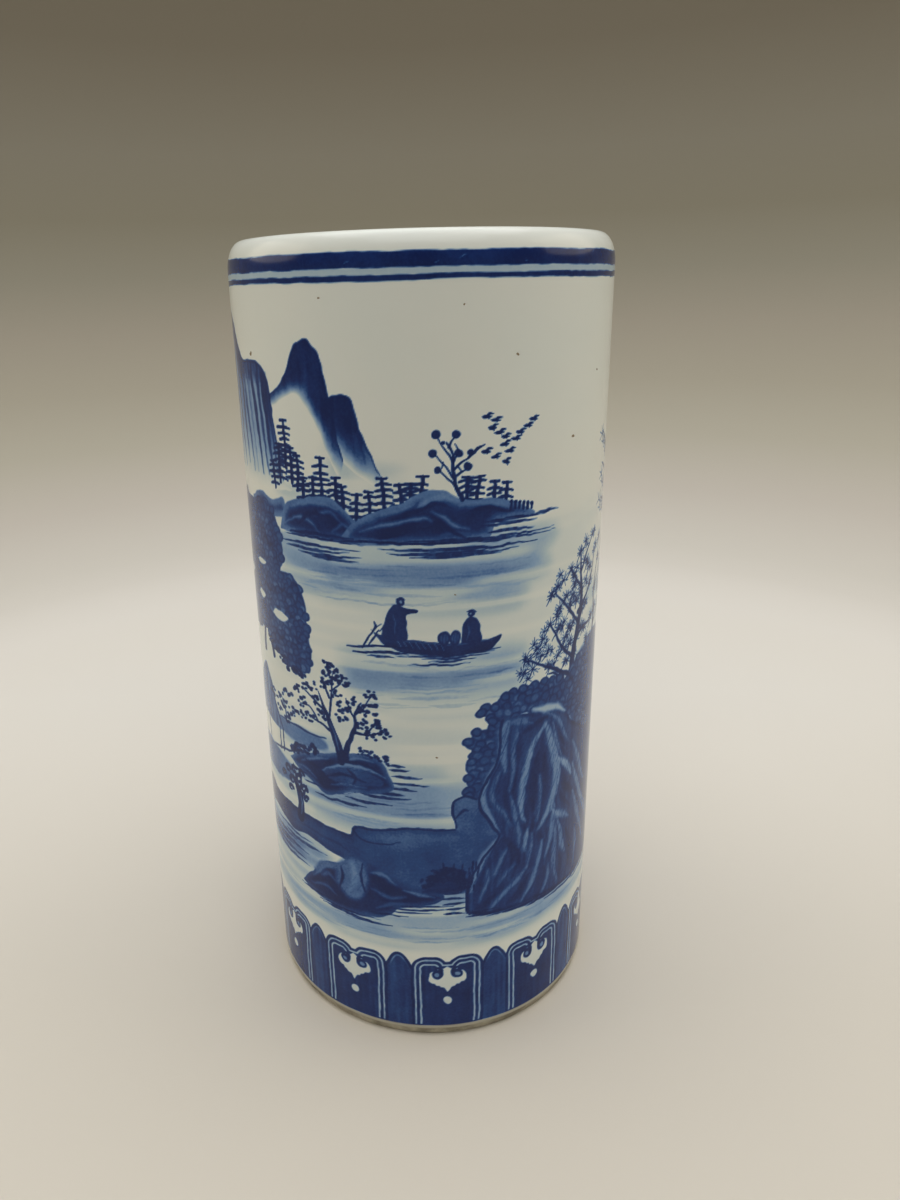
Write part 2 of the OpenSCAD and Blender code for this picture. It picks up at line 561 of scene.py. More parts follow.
    def dots(self, at: Point, spread: Point, count: int, size: float = 0.62, load: float = 0.92) -> None:
        """A cluster of small leaf dots.

        Args:
            at: Centre of the cluster.
            spread: Half width and half height.
            count: Number of dots.
            size: Mean radius of a dot.
            load: Load of cobalt.
        """
        for _ in range(count):
            turn, far = self.rng.uniform(0, 2 * np.pi), np.sqrt(self.rng.uniform())
            spot = (at[0] + spread[0] * far * np.cos(turn), at[1] + spread[1] * far * np.sin(turn))
            r = size * self.rng.uniform(0.7, 1.25)
            self.dab(spot, (r * 1.1, r * 0.85), load, 0.35)

    def sprig(self, at: Point, count: int, reach: float, lean: float = 90.0,
              spread: float = 110.0, width: float = 0.75, load: float = 0.92) -> None:
        """Pointed leaves that spread from one point.

        Args:
            at: Point they start from.
            count: Number of leaves.
            reach: Length of the longest leaf.
            lean: Direction of the middle leaf in degrees.
            spread: Half angle of the fan.
            width: Greatest width of a leaf.
            load: Load of cobalt.
        """
        for k in range(count):
            turn = math.radians(lean - spread + 2 * spread * k / max(count - 1, 1) + self.rng.uniform(-9, 9))
            far = reach * self.rng.uniform(0.7, 1.0)
            tip = (at[0] + far * math.cos(turn), at[1] + far * math.sin(turn))
            self.line([at, tip], (0.3, width, width * 0.8, 0.2), load, 0.3)

    def hatch(self, outline: Path, pitch: float, slant: float, reach: float,
              load: float = 0.35, width: float = 0.45) -> None:
        """Short slanting strokes that model a rock face, none of them past its outline.

        Args:
            outline: Closed outline.
            pitch: Spacing of the strokes.
            slant: Direction in degrees.
            reach: Length of a stroke.
            load: Load of cobalt.
            width: Width of a stroke.
        """
        ring = curve([*outline, outline[0]], 5)
        starts = np.array(self.scatter(outline, pitch))
        turn = np.radians(slant + self.rng.uniform(-12, 12, len(starts)))
        far = reach * self.rng.uniform(0.5, 1.0, len(starts))
        ends = starts + np.stack([far * np.cos(turn), far * np.sin(turn)], -1)
        held = within(ring, ends[:, 0], ends[:, 1])
        for start, end in zip(starts[held], ends[held]):
            self.line([start, end], (width * 0.5, width, width * 0.3), load, 0.4)

    def ripples(self, spans: Sequence[tuple[float, float, float]],
                width: float = 0.7, load: float = 0.85) -> None:
        """Level water lines, thick in the middle and thin at the ends.

        Args:
            spans: Left end, right end and height of each line.
            width: Greatest width.
            load: Load of cobalt.
        """
        for left, right, h in spans:
            drop = self.rng.uniform(-0.4, 0.4)
            middle = ((left + right) / 2, h + self.rng.uniform(-0.2, 0.2))
            w = width * self.rng.uniform(0.75, 1.2)
            self.line([(left, h), middle, (right, h + drop)],
                      (0.15, w * 0.8, w, w, w * 0.6, 0.15), load, 0.35, dry=0.25)


# ---------------- motifs


class Side(Enum):
    """Where a motif stands.  The value begins the name of its piece."""

    FRONT = "front"
    BACK = "back"


@dataclass(frozen=True)
class Scenery:
    """A painted motif and its place on the wall."""

    side: Side = Side.FRONT
    at: Point = (0, 0)
    mirror: bool = False
    seed: int = 1

    def brush(self, canvas: Canvas, motif: str) -> Brush:
        """The brush for one motif at this place."""
        return Brush(canvas, f"{self.side.value}_{motif}", self.at, self.mirror, self.seed)


@dataclass(frozen=True)
class River(Scenery):
    """Soft washes of the water and of the mist, laid wet before the outlines."""

    pools: Rows = (
        (-52, 38, 175, 190, 0.2), (-44, 30, 167, 182, 0.13), (-32, 24, 171, 188, 0.1),
        (-34, 28, 166, 172, 0.06), (-26, 28, 140, 152, 0.21), (-24, 32, 132, 147, 0.15),
        (-50, 10, 86, 105, 0.19), (-44, 0, 85, 96, 0.12), (-66, -34, 110, 116.5, 0.3),
        (-20, 2, 96, 112, 0.1), (-84, 92, 37, 50, 0.17), (-60, 60, 37, 45, 0.12),
        (-20, 24, 50, 64, 0.26), (-100, 100, 120, 190, 0.03), (-60, 30, 60, 120, 0.04),
        (-100, -44, 54, 70, 0.3), (-96, -56, 60, 67, 0.25), (-90, -52, 86, 100, 0.16),
        (-17, -8, 203, 212, 0.09), (-30, -22, 206, 216, 0.1), (-50, -18, 196, 204, 0.1),
        (66, 104, 96, 116, 0.1), (70, 116, 150, 164, 0.09))

    def paint(self, canvas: Canvas) -> None:
        """Lays the washes."""
        b = self.brush(canvas, "ripples")
        for left, right, low, high, load in self.pools:
            lean = b.rng.uniform(-1, 1)
            b.soak([(left, low + lean), ((left + right) / 2, low), (right, low - lean),
                    (right + 2, (low + high) / 2), (right, high), (left, high)],
                   load, min(9, (high - low) * 0.9), 0.7)


@dataclass(frozen=True)
class Ripples(Scenery):
    """Level strokes on the open water."""

    spans: Rows = (
        (-52, -20, 185.6), (-50, -24, 184.4), (-44, -20, 183.2), (-38, -21, 182.3), (-17, 45, 188.6),
        (-6, 44, 189.6), (-15, 37, 186.7), (-12, 30, 185.4), (-5, 24, 184.4), (19, 36, 191.2),
        (17, 37, 193.4), (34, 46, 195), (-14, 0, 104.5), (-13, -2, 107.2), (-14, -6, 109.8),
        (-14, -8, 111.4), (-14, -4, 102.4), (-24, -6, 99), (-30, -13, 96.2), (-36, -22, 93.6),
        (-20, -8, 100.6), (2, 12, 59.8), (3, 12.5, 57.6), (4, 13, 55.4), (5, 13, 53.2), (4, 12, 51.2),
        (3, 11, 61.8), (12, 50, 48.8), (26, 58, 47.6), (36, 64, 46.4), (46, 78, 45), (-44, -22, 46.2),
        (-30, -14, 45.2), (64, 86, 43.6))

    def paint(self, canvas: Canvas) -> None:
        """Draws the strokes, and fainter ones between them."""
        b = self.brush(canvas, "ripples")
        b.ripples(self.spans, 1)
        for left, right, low, high, count in ((-50, 42, 169, 184, 34), (-26, 38, 132, 149, 26),
                                              (-48, 8, 86, 100, 20), (-70, 84, 38, 47, 30)):
            for _ in range(count):
                a = b.rng.uniform(left, right - 16)
                b.ripples([(a, a + b.rng.uniform(8, 26), b.rng.uniform(low, high))],
                          b.rng.uniform(0.4, 1.1), b.rng.uniform(0.05, 0.13))


@dataclass(frozen=True)
class FarPeaks(Scenery):
    """Two blue peaks, dark along the ridge and fading into mist below."""

    ridges: tuple[Outline, ...] = (
        ((-56, 230.6), (-50, 233.3), (-46.5, 235.6), (-43, 240.6), (-40.8, 245.2),
         (-38.4, 247.2), (-35.5, 248.3), (-33.6, 246.4), (-31.6, 244.6), (-30.4, 240),
         (-29, 234), (-27.6, 228), (-26, 219), (-24.6, 213.4)),
        ((-28.6, 231.6), (-26.6, 232.4), (-24, 232.7), (-21.6, 231.6), (-20.4, 228.4),
         (-19.4, 224), (-17.6, 219), (-15, 213.5), (-12.8, 209.6)))
    hems: tuple[Outline, ...] = (
        ((-54, 227.6), (-48, 230.4), (-44, 231.6), (-41, 232.6), (-38, 230.4), (-34.8, 226), (-32, 220.6),
         (-29.4, 214.6), (-26.8, 209)), ((-28, 218.6), (-24.6, 213.4), (-20.4, 209.6), (-15.2, 207)))

    def paint(self, canvas: Canvas) -> None:
        """Fills each peak, then draws its strokes."""
        b = self.brush(canvas, "far_peaks")
        for ridge, hem in zip(self.ridges[::-1], self.hems[::-1]):
            top, foot = curve(ridge, 4), curve(hem, 4)

            def tone(s: Array, h: Array, depth: Array) -> Array:
                """Dark along the ridge, none at the hem."""
                far = gap_to(top, s, h)
                return ((0.95 - 0.24 * smooth(far, 3.5, 10)) * smooth(gap_to(foot, s, h), 0, 5) ** 0.62
                        * (0.25 + 0.75 * smooth(h, 205, 226)))

            b.fill([*ridge, *hem[::-1]], tone, 0.4, streaks="upright", rough=0.1)
            b.line(ridge, (0.3, 0.7, 0.9, 0.8, 0.6, 0.3), 0.6, 0.3)
        for start, end in (((-36, 246), (-35.4, 232)), ((-33, 243), (-30.4, 222)),
                           ((-39, 244), (-41, 236)), ((-24, 231), (-20.6, 216)),
                           ((-31, 238), (-27.4, 218)), ((-22, 229), (-17.5, 213))):
            middle = ((start[0] + end[0]) / 2 + 0.6, (start[1] + end[1]) / 2)
            b.line([start, middle, end], (0.5, 1.3, 0.8, 0.2), 0.5, 1)


@dataclass(frozen=True)
class Cliff(Scenery):
    """Round-headed cliffs whose folds run down into mist."""

    head: Outline = (
        (-104, 246), (-99, 253), (-93, 256.4), (-86, 255.6), (-80, 251), (-75.5, 245),
        (-71.5, 241.2), (-66, 241.4), (-61, 241.5), (-57, 239.8), (-54.2, 236.2),
        (-52.8, 229), (-51.6, 221), (-50, 212), (-48.6, 205))

    def paint(self, canvas: Canvas) -> None:
        """Fills the cliffs and draws their folds."""
        b = self.brush(canvas, "cliff")
        top = curve(self.head, 4)

        def tone(s: Array, h: Array, depth: Array) -> Array:
            """Darkest under the heads, none at the foot."""
            far = gap_to(top, s, h)
            return ((0.42 + 0.36 * (1 - smooth(far, 1.5, 9))) * smooth(h, 201, 232) ** 0.7)

        b.fill([*self.head, (-49, 202), (-104, 201)], tone, 0.5, streaks="upright", rough=0.22)
        b.line(self.head, (0.5, 0.9, 0.8, 0.9, 0.8, 0.6, 0.4), 0.7, 0.4)
        b.line([(-75.5, 245), (-73.6, 236), (-73, 222), (-72, 208)], (1, 1.6, 1.2, 0.3), 0.7, 0.9)
        for s, load, wide in (
                (-69.4, 0.5, 1.8), (-66.4, 0.3, 1), (-62.6, 0.8, 2.4), (-58.8, 0.6, 1.6), (-55.8, 0.75, 2),
                (-53.4, 0.6, 1.2), (-79, 0.6, 2.2), (-84, 0.55, 1.8), (-88.6, 0.7, 2.4), (-93.6, 0.5, 1.6),
                (-98.6, 0.6, 2)):
            high = 238 if s > -72 else 249
            b.line([(s - 1.4, high), (s - 0.6, high - 9), (s + 0.8, 219), (s + 2.2, 206)],
                   (wide * 0.5, wide, wide * 0.8, 0.3), load, 1.3)
        for s in (-64.4, -60.6, -57.2, -67.6, -81.4, -90.8):
            high = 235 if s > -72 else 246
            b.line([(s - 1, high), (s, high - 10), (s + 1.6, 214)], (0.4, 1.4, 0.5), 0.3, 1.2, opaque=True)


@dataclass(frozen=True)
class PineShore(Scenery):
    """The far shore: dark mounds with light rims, and a row of small pines."""

    pines: Rows = (
        (-47, 210, 224.5), (-44.6, 206, 216), (-42, 204, 214), (-40, 200.6, 207.5),
        (-36.4, 201, 208), (-33, 201, 214.2), (-28, 199.6, 208.4), (-25.6, 199, 205.6),
        (-21, 196, 203.6), (-16.5, 196.6, 204.6), (-12, 198.6, 208.8), (-7, 200, 206.8),
        (-4.2, 201, 207), (-1, 202.4, 209.4), (13, 201, 208.8), (16, 200.6, 208.8),
        (21.6, 200, 206.6), (25.2, 199, 206.2), (-50, 205, 217), (-53.4, 203, 211))

    def pine(self, b: Brush, s: float, low: float, high: float) -> None:
        """One pine: a trunk crossed by level boughs of nearly one length, with a cap."""
        tall = high - low
        lean = b.rng.uniform(-0.5, 0.5)
        b.line([(s, low - 0.6), (s + lean / 2, (low + high) / 2), (s + lean, high)],
               (1.2, 1.1, 1), 0.95, 0.3)
        b.line([(s + lean - 1.5, high - 0.1), (s + lean + 1.5, high)], (0.8, 1.1, 0.7), 0.93, 0.3)
        for k in range(int(tall / 1.95)):
            up = (k + 0.4) * 1.95 / tall
            reach = (2.7 - 0.5 * up) * b.rng.uniform(0.8, 1.15) * (1.15 if tall > 11 else 1)
            h = low + up * tall + b.rng.uniform(-0.2, 0.2)
            b.line([(s - reach, h - 0.3), (s, h + 0.15), (s + reach, h - 0.2)], (0.8, 1, 0.9, 0.7), 0.9, 0.3)

    def paint(self, canvas: Canvas) -> None:
        """Fills the mounds, then draws rims, folds, grass and pines."""
        b = self.brush(canvas, "pine_shore")
        for s, low, high in self.pines:
            self.pine(b, s, low, high)
        dark = shade(0.50, 0.40, 0.7, 4.2)
        b.fill([(-72, 197), (-64, 199.6), (-56, 198), (-50, 199.6), (-49, 194), (-60, 192.5), (-72, 193)],
               dark, 0.5)
        b.fill([(-52, 189), (-50, 196.6), (-45.6, 199.4), (-38, 201.5), (-31, 201.8), (-26.6, 199.4),
                (-21, 195), (-19, 189.4), (-28, 187.8), (-42, 188)], dark, 0.4)
        b.fill([(-28, 188.6), (-22, 195), (-15, 198.8), (-8, 201.2), (-3, 203.6), (1.5, 205.2), (6.5, 205),
                (11, 202.4), (15, 201.6), (21, 201.6), (27, 200.2), (32, 198.2), (36, 195.6), (30, 194.4),
                (22, 194.4), (19.6, 189.6), (8, 188.6), (-8, 188.2), (-20, 187.4)], dark, 0.4)
        b.fill([(-19, 190.4), (-15.6, 192.4), (-10, 194.6), (-3, 195.6), (-1, 194.4), (-5, 192), (-12, 190)],
               0.97, 0.7)
        b.lights((
                (((-20, 192), (-14, 194.4), (-8, 195.4), (-1, 196.8), (2, 196)), 1, 0.46),
                (((-3, 199), (1, 202), (6, 203.4), (10.4, 202)), 1.5, 0.44),
                (((-14, 197.6), (-8, 199.4), (-3, 201)), 1.1, 0.5),
                (((2, 198.6), (6, 197), (9, 194.4), (13.4, 192.6)), 1, 0.48),
                (((11, 200.4), (17, 200.6), (23, 199.6), (27, 198)), 1, 0.44),
                (((-46, 197.6), (-40, 199.6), (-33, 200), (-28, 198)), 1, 0.46),
                (((-50, 191), (-44, 194.6), (-38, 194), (-35, 190)), 0.9, 0.5),
                (((-36, 196), (-31, 197.4), (-26, 194)), 0.8, 0.54),
                (((2, 190), (8, 192), (14, 190.8)), 0.7, 0.62),
                (((-30, 191), (-26, 193.6), (-22.6, 192)), 0.8, 0.55)), 1.5)
        b.lines((
            ((0, 200), (4, 201.4), (8, 200)), ((-10, 196.6), (-3, 199), (3, 200.4)),
            ((14, 198.4), (20, 198.6), (28, 196.6)), ((5, 195.6), (9, 192), (12, 190)),
            ((-43, 192), (-38, 196.6), (-30, 195.6)), ((-47, 189), (-36, 189.6), (-22, 189.4))),
            (0.4, 1.5, 1.1, 0.3), 0.9, 0.7)
        for s in np.arange(27, 36, 1.5):
            b.line([(s, 197.4), (s + 0.1, 200.2 - (s - 27) * 0.17)], (0.9, 0.8), 0.9, 0.3)
            b.dab((s + 0.1, 200 - (s - 27) * 0.17), 0.62)
        b.ripples([(-50, -20, 188), (-34, 20, 188.6), (18, 36, 194.4)], 1, 0.95)


class Sapling(Scenery):
    """A young tree with a few round leaves, on top of the far shore."""

    def paint(self, canvas: Canvas) -> None:
        """Draws trunk, twigs and leaves."""
        b = self.brush(canvas, "round_leaf_sapling")
        b.line([(11.6, 202), (9.6, 206.4), (8.8, 210.4), (8.9, 214), (8.2, 217), (7, 219)],
               (1.2, 1, 0.8, 0.7, 0.5), 0.95)
        b.lines((
            ((9.6, 206), (6.2, 209), (4.6, 210.8)), ((9.2, 207.6), (6.8, 211.6), (5.2, 213.4), (3.6, 215.4)),
            ((8.8, 213.2), (7.2, 216), (5.4, 218.4), (4, 220.6)), ((7.6, 217.6), (8.6, 219.6), (9.2, 220.8)),
            ((9, 210.6), (11, 213), (13.4, 214.6), (15.4, 216)), ((9.6, 209), (11.4, 210.6), (12.6, 211.4)),
            ((9, 213), (9.6, 214.8), (10.2, 215.6))), (0.65, 0.5, 0.4), 0.92, 0.3)
        for at, r in (((3.5, 221.3), 1.35), ((9.4, 221.3), 1.3), ((2.7, 215.8), 1.3), ((10.3, 215.8), 1.25),
                      ((4, 210.9), 1.15), ((12.9, 211.9), 1.4), ((6, 219), 0.6), ((13.6, 216.2), 0.9)):
            b.dab(at, (r, r * 0.92), 0.9, 0.4, edge=0.06)
        b.lines((((13, 214.6), (15.6, 216.8), (18.4, 217.9)), ((10.6, 216.2), (9.4, 218.6)),
                 ((6, 213), (5.4, 211.4)), ((10, 212), (11, 210.4))), (0.5, 1, 0.3), 0.92, 0.3)


@dataclass(frozen=True)
class Flock(Scenery):
    """Small birds in flight, each of two short wing strokes."""

    birds: Outline = (
        (18.8, 225.7), (21.6, 224.5), (20.6, 222.4), (23, 221), (25, 219.6), (24.8, 217.4), (19, 216),
        (26.4, 215.2), (22, 214.1), (25.2, 212.3), (28.5, 218.7), (30, 220.6), (32.6, 222.2), (34.4, 224.1))

    def paint(self, canvas: Canvas) -> None:
        """Draws the birds."""
        b = self.brush(canvas, "bird_flock")
        for s, h in self.birds:
            r = b.rng.uniform(0.85, 1.1)
            b.line([(s - 1.6 * r, h + 0.1), (s - 0.3, h), (s + 1.3 * r, h - 0.1)],
                   (0.3, 1, 0.85, 0.3), 0.95, 0.3)
            b.line([(s - 0.2, h), (s + 0.7 * r, h + 0.75), (s + 1.9 * r, h + 0.8)],
                   (0.8, 0.8, 0.3), 0.95, 0.3)
            b.line([(s, h), (s + 0.5, h - 0.7)], (0.5, 0.2), 0.95, 0.3)


class RiverBoat(Scenery):
    """A low punt with two tiny faceless figures in robes."""

    def paint(self, canvas: Canvas) -> None:
        """Draws hull, load, poles, figures and the lines of the wake."""
        b = self.brush(canvas, "river_boat")
        b.fill([(-18, 160.6), (-15.6, 158.9), (-9, 158), (-3, 157.2), (4, 156.3), (11, 155.6),
                (18, 156), (24.2, 157), (22.4, 154.3), (19, 152.2), (8, 151.6), (-5, 152.6),
                (-11, 154.2), (-14.8, 156.2)], 0.93, 0.4)
        for s in np.arange(-9.5, 5, 1.9):
            b.line([(s, 156.9 - 0.07 * (s + 9)), (s + 1.3, 154.6 - 0.05 * (s + 9))],
                   (0.35, 0.55, 0.3), 0.5, 0.3, opaque=True)
        b.line([(-15, 158.2), (-6, 157), (4, 155.8), (12, 155.2), (22, 156)],
               (0.2, 0.4, 0.4, 0.2), 0.62, 0.3, opaque=True)
        for path, wide in (
                (((-26.6, 153.7), (-16, 154.6), (-5, 154.9)), 0.8),
                (((-24.6, 152.1), (-14, 152.6), (-5, 153)), 0.8),
                (((-21, 153.9), (-19, 157), (-17.2, 160.2)), 0.75),
                (((-19, 154.2), (-17.2, 157), (-15.6, 160.4)), 0.65),
                (((-17.8, 159), (-16.6, 161.4), (-16.8, 163.2)), 0.8), (((-17, 161), (-14.8, 162.6)), 0.55),
                (((-15.5, 160), (-12, 163.6), (-9.4, 165.4)), 0.45)):
            b.line(path, (wide * 0.6, wide, wide * 0.5), 0.95, 0.3)
        b.fill([(-15, 157.6), (-14.4, 161), (-12.8, 165.6), (-11, 168.6), (-8.8, 169.3), (-7, 168.4),
                (-3.2, 167.9), (-3, 166.8), (-6.2, 166), (-6.6, 162), (-6.8, 157.4)], 0.95, 0.4)
        b.dab((-8, 170.1), (1.25, 1.15), 0.9)
        b.dab((-7.9, 170.2), (0.5, 0.45), 0.35, 0.3, opaque=True)
        b.line([(-9, 171), (-7.6, 171.4), (-6.6, 170.8)], 0.4, 0.95, 0.3)
        b.line([(-10.8, 166.4), (-10.2, 163), (-10.6, 159.6)], (0.2, 0.5, 0.2), 0.6, 0.4, opaque=True)
        b.fill([(11, 155.4), (11.4, 161), (12.6, 163.6), (14.5, 164.1), (16.4, 163),
                (17.3, 160), (17.4, 155.6)], 0.95, 0.4)
        b.dab((14.1, 165.1), (1.1, 1), 0.9)
        b.dab((14, 165.1), 0.4, 0.35, 0.3, opaque=True)
        b.line([(12.8, 165.9), (14.3, 166.4), (15.4, 165.8)], 0.4, 0.95, 0.3)
        b.line([(13.2, 162), (13.6, 159), (13, 156.4)], (0.2, 0.5, 0.2), 0.6, 0.4, opaque=True)
        for s, wide, tall in ((5.2, 1.9, 2.4), (8.8, 1.9, 2.6)):
            b.dab((s, 157.6), (wide, tall), 0.62, 0.4, opaque=True, edge=0.32)
            b.line([(s - 0.5, 156), (s - 0.3, 159)], 0.35, 0.5, 0.3)
            b.line([(s + 0.5, 156), (s + 0.5, 159)], 0.35, 0.5, 0.3)
        b.ripples([(-23, -6, 152.2), (-10, 22, 151.7), (-2, 20, 150.9), (-6, 14, 148.8),
                   (0, 16, 149.9), (12, 24, 152.6), (-20, -10, 151.2)], 0.75, 0.85)


@dataclass(frozen=True)
class Thicket(Scenery):
    """A tall bank of leafy trees beside the cliffs."""

    masses: tuple[Outline, ...] = (
        ((-100, 196), (-88, 198), (-76, 196), (-66, 197), (-58, 196), (-54, 190),
         (-52.6, 182), (-54, 175), (-62, 172), (-76, 173), (-98, 176)),
        ((-101, 176), (-86, 175), (-70, 175), (-58, 174), (-50, 173.6), (-45.6, 171),
         (-42.4, 164), (-42.6, 155), (-41.6, 147), (-44, 140.5), (-52, 139.5),
         (-63, 144), (-70, 150), (-84, 146), (-100, 150)))
    gaps: Rows = (
        (-57, 157.4, 5.2, 1.8), (-68.6, 174.2, 4.4, 1), (-71, 161.6, 3.4, 1.5),
        (-84, 168, 3.5, 1.6), (-92, 158, 4, 1.4))

    def paint(self, canvas: Canvas) -> None:
        """Draws trunks, then leaves, and leaves a few openings white."""
        b = self.brush(canvas, "thicket")
        b.lines((((-73, 140), (-71, 152), (-73, 166), (-70, 182)), ((-90, 128), (-88, 146), (-92, 164)),
                 ((-64, 140), (-66, 150), (-62, 160))), (2, 1.5, 1), 0.9, 0.4)
        for mass in self.masses:
            b.fill(mass, 0.74, 0.6)
            b.scales(mass, 1.9, 0.62, 0.2)
        for s, h, wide, tall in self.gaps:
            b.fill([(s - wide, h), (s - wide * 0.4, h + tall), (s + wide * 0.5, h + tall * 0.8),
                    (s + wide, h), (s + wide * 0.3, h - tall), (s - wide * 0.5, h - tall * 0.7)],
                   0.03, 0.5, rough=0)
        for s, h in ((-52, 138.5), (-57, 141), (-47, 139), (-62, 143), (-66, 146)):
            b.dots((s, h), (2.6, 1.4), 5, 0.8)
        for s, h in ((-67, 188), (-60, 183), (-55, 168), (-63, 166), (-50, 160), (-47, 151),
                     (-58, 150), (-72, 184), (-80, 188), (-82, 160), (-92, 168)):
            b.line([(s - 3, h + 2), (s, h - 1), (s + 3, h + 0.6)], (0.3, 1.3, 0.4), 0.6, 0.9)


class Island(Scenery):
    """An islet of dark rocks, with the dotted tree that stands on it."""

    def paint(self, canvas: Canvas) -> None:
        """Draws the far bank, the rocks and the tree."""
        b = self.brush(canvas, "island")
        b.line([(-64, 116.3), (-56, 117.2), (-46, 116.6), (-37, 116.9)], (0.4, 0.8, 0.5), 0.7, 0.5)
        b.fill([(-66, 116), (-56, 117), (-40, 116.6), (-37, 113), (-48, 110.6), (-60, 111)],
               0.42, 1.6, opaque=False)
        b.line([(-71, 101.6), (-64, 103), (-58, 104.4), (-52, 107)], (0.5, 0.9, 0.8, 0.4), 0.85, 0.4)
        b.fill([(-90, 112), (-85, 123), (-78, 132), (-73.4, 134), (-69.6, 129), (-66, 119),
                (-61.4, 111.6), (-70, 110.8)], 0.52, 0.8, streaks="upright", rough=0.3)
        b.line([(-74, 134), (-69.4, 128), (-66, 119), (-61.2, 111.4)], (0.5, 0.9, 1, 0.5), 0.7, 0.4)
        b.fill([(-90, 100), (-78, 101.6), (-66, 101), (-58, 98.6), (-56.6, 94), (-64, 90), (-90, 90)], 0.55,
               1.4, rough=0.2)
        for s in (-76, -64.4, -61.8):
            b.line([(s, 102.6), (s + 0.2, 111.4)], (0.9, 0.7), 0.85, 0.3)
        b.fill([(-57.4, 102.6), (-50, 107.2), (-42, 110), (-35, 112.2), (-28, 114), (-20.6, 114.4),
                (-16, 112), (-14, 108), (-12.3, 104), (-13, 101.4), (-20, 99.6), (-28, 98.4), (-34, 95.6),
                (-40, 94.4), (-46, 97.6), (-52, 99.4)], shade(0.58, 0.34, 0.5, 3.0), 0.5)
        b.fill([(-40, 104), (-35, 107), (-29, 108.6), (-21, 107.4), (-16, 104.8), (-17, 102.6),
                (-26, 102), (-36, 101)], 0.66, 0.9)
        b.lights((
                (((-40, 103.6), (-34, 107.2), (-28, 109.2), (-20, 108.2), (-15, 106)), 1.1, 0.4),
                (((-50, 103.6), (-44, 107), (-37, 109.6)), 0.9, 0.48),
                (((-31, 111), (-25, 112.4), (-19, 111.6)), 0.8, 0.46),
                (((-54, 101), (-48, 101.6), (-43, 99.4)), 0.8, 0.54),
                (((-36, 99), (-30, 101), (-22, 101.6)), 0.7, 0.52)), 1.3)
        b.lines((((-38, 102), (-31, 104.6), (-22, 103.6)), ((-48, 105), (-41, 104), (-36, 99)),
                 ((-32, 110), (-24, 110.6), (-16, 107.6)), ((-29, 107.6), (-26, 104), (-27, 101.6))),
                (0.3, 1.4, 0.9, 0.3), 0.9, 0.7)
        b.hatch([(-56, 102), (-40, 108), (-26, 112), (-15, 108), (-20, 100), (-40, 96)], 2.6, 20, 3, 0.4)
        b.ripples([(-44, -30, 93.2), (-50, -40, 96.4), (-58, -48, 99)], 0.8, 0.85)
        self.tree(canvas)

    def tree(self, canvas: Canvas) -> None:
        """Draws the two-stemmed tree with its dotted leaves."""
        b = self.brush(canvas, "island_tree")
        for path, widths in (
                (((-31.4, 110), (-32, 115), (-33.8, 120.4), (-35.8, 126), (-37.6, 130),
                  (-39.6, 134.5)), (3.4, 2.8, 2.4, 1.6, 1, 0.4)),
                (((-29.6, 111), (-28.6, 116.6), (-26.8, 120.6), (-24.8, 124.4), (-24.6, 129),
                  (-22.4, 133)), (2.6, 2.2, 1.6, 1.2, 0.8, 0.4)),
                (((-33.4, 120), (-38, 122), (-42, 123), (-46, 124.6)), (1.3, 0.9, 0.6, 0.3)),
                (((-25.6, 122.4), (-21.6, 122.2), (-18, 123.2), (-15, 124)), (1.1, 0.8, 0.5)),
                (((-36.6, 127.6), (-41, 130), (-44.6, 132), (-47, 134)), (1, 0.7, 0.3)),
                (((-35.4, 125), (-34, 131), (-33.4, 137), (-32.6, 143)), (1.1, 0.8, 0.6, 0.3)),
                (((-34.4, 133), (-36.4, 138), (-38, 140.5)), (0.7, 0.5, 0.3)),
                (((-33.6, 136), (-30, 139), (-28.4, 142)), (0.6, 0.5, 0.3)),
                (((-24.6, 127), (-27, 131), (-28, 134)), (0.7, 0.5, 0.3)),
                (((-24.4, 129), (-21, 132), (-18.6, 137)), (0.7, 0.5, 0.3)),
                (((-21.6, 122.4), (-18.6, 126), (-17, 128)), (0.6, 0.4, 0.3)),
                (((-40, 122.4), (-44, 127), (-49, 127.6)), (0.7, 0.5, 0.3))):
            b.line(path, widths, 0.95, 0.35)
        b.line([(-32, 114), (-33, 119), (-35, 124)], (0.5, 0.7, 0.3), 0.55, 0.4, opaque=True)
        for s, h in (
                (-33, 144), (-30.6, 141), (-37.6, 138.4), (-34.6, 140), (-45, 134.4), (-28, 140.4),
                (-47.4, 128), (-44.6, 123), (-50, 123.4), (-32, 135), (-26, 134), (-19.4, 136.6),
                (-17, 126.4), (-22, 131), (-30, 127), (-41, 130.6), (-42.4, 136), (-36, 144), (-15, 123.4),
                (-19.6, 122), (-23, 126), (-29, 131), (-38.6, 126), (-49.4, 132), (-18.4, 132)):
            b.dots((s, h), (2.5, 2.1), 9, 0.66, 0.92)
        for s, h in ((-60, 125), (-56, 128), (-62, 121), (-55, 122), (-67, 124), (-58, 118.6)):
            b.dots((s, h), (3.2, 2.2), 9, 0.72, 0.75)
        b.line([(-58, 117), (-58.6, 122), (-61, 126)], (1, 0.7, 0.3), 0.8, 0.4)
        for s in np.arange(-24, -13, 1.6):
            b.dots((s, 115.8 - 0.3 * (s + 24)), (1.6, 1.7), 6, 0.55, 0.8)
        for s, h in ((-54, 106.4), (-51, 108.6), (-47.6, 109.6), (-43.6, 111)):
            b.dots((s, h), (2.6, 1.6), 14, 0.8, 0.7)


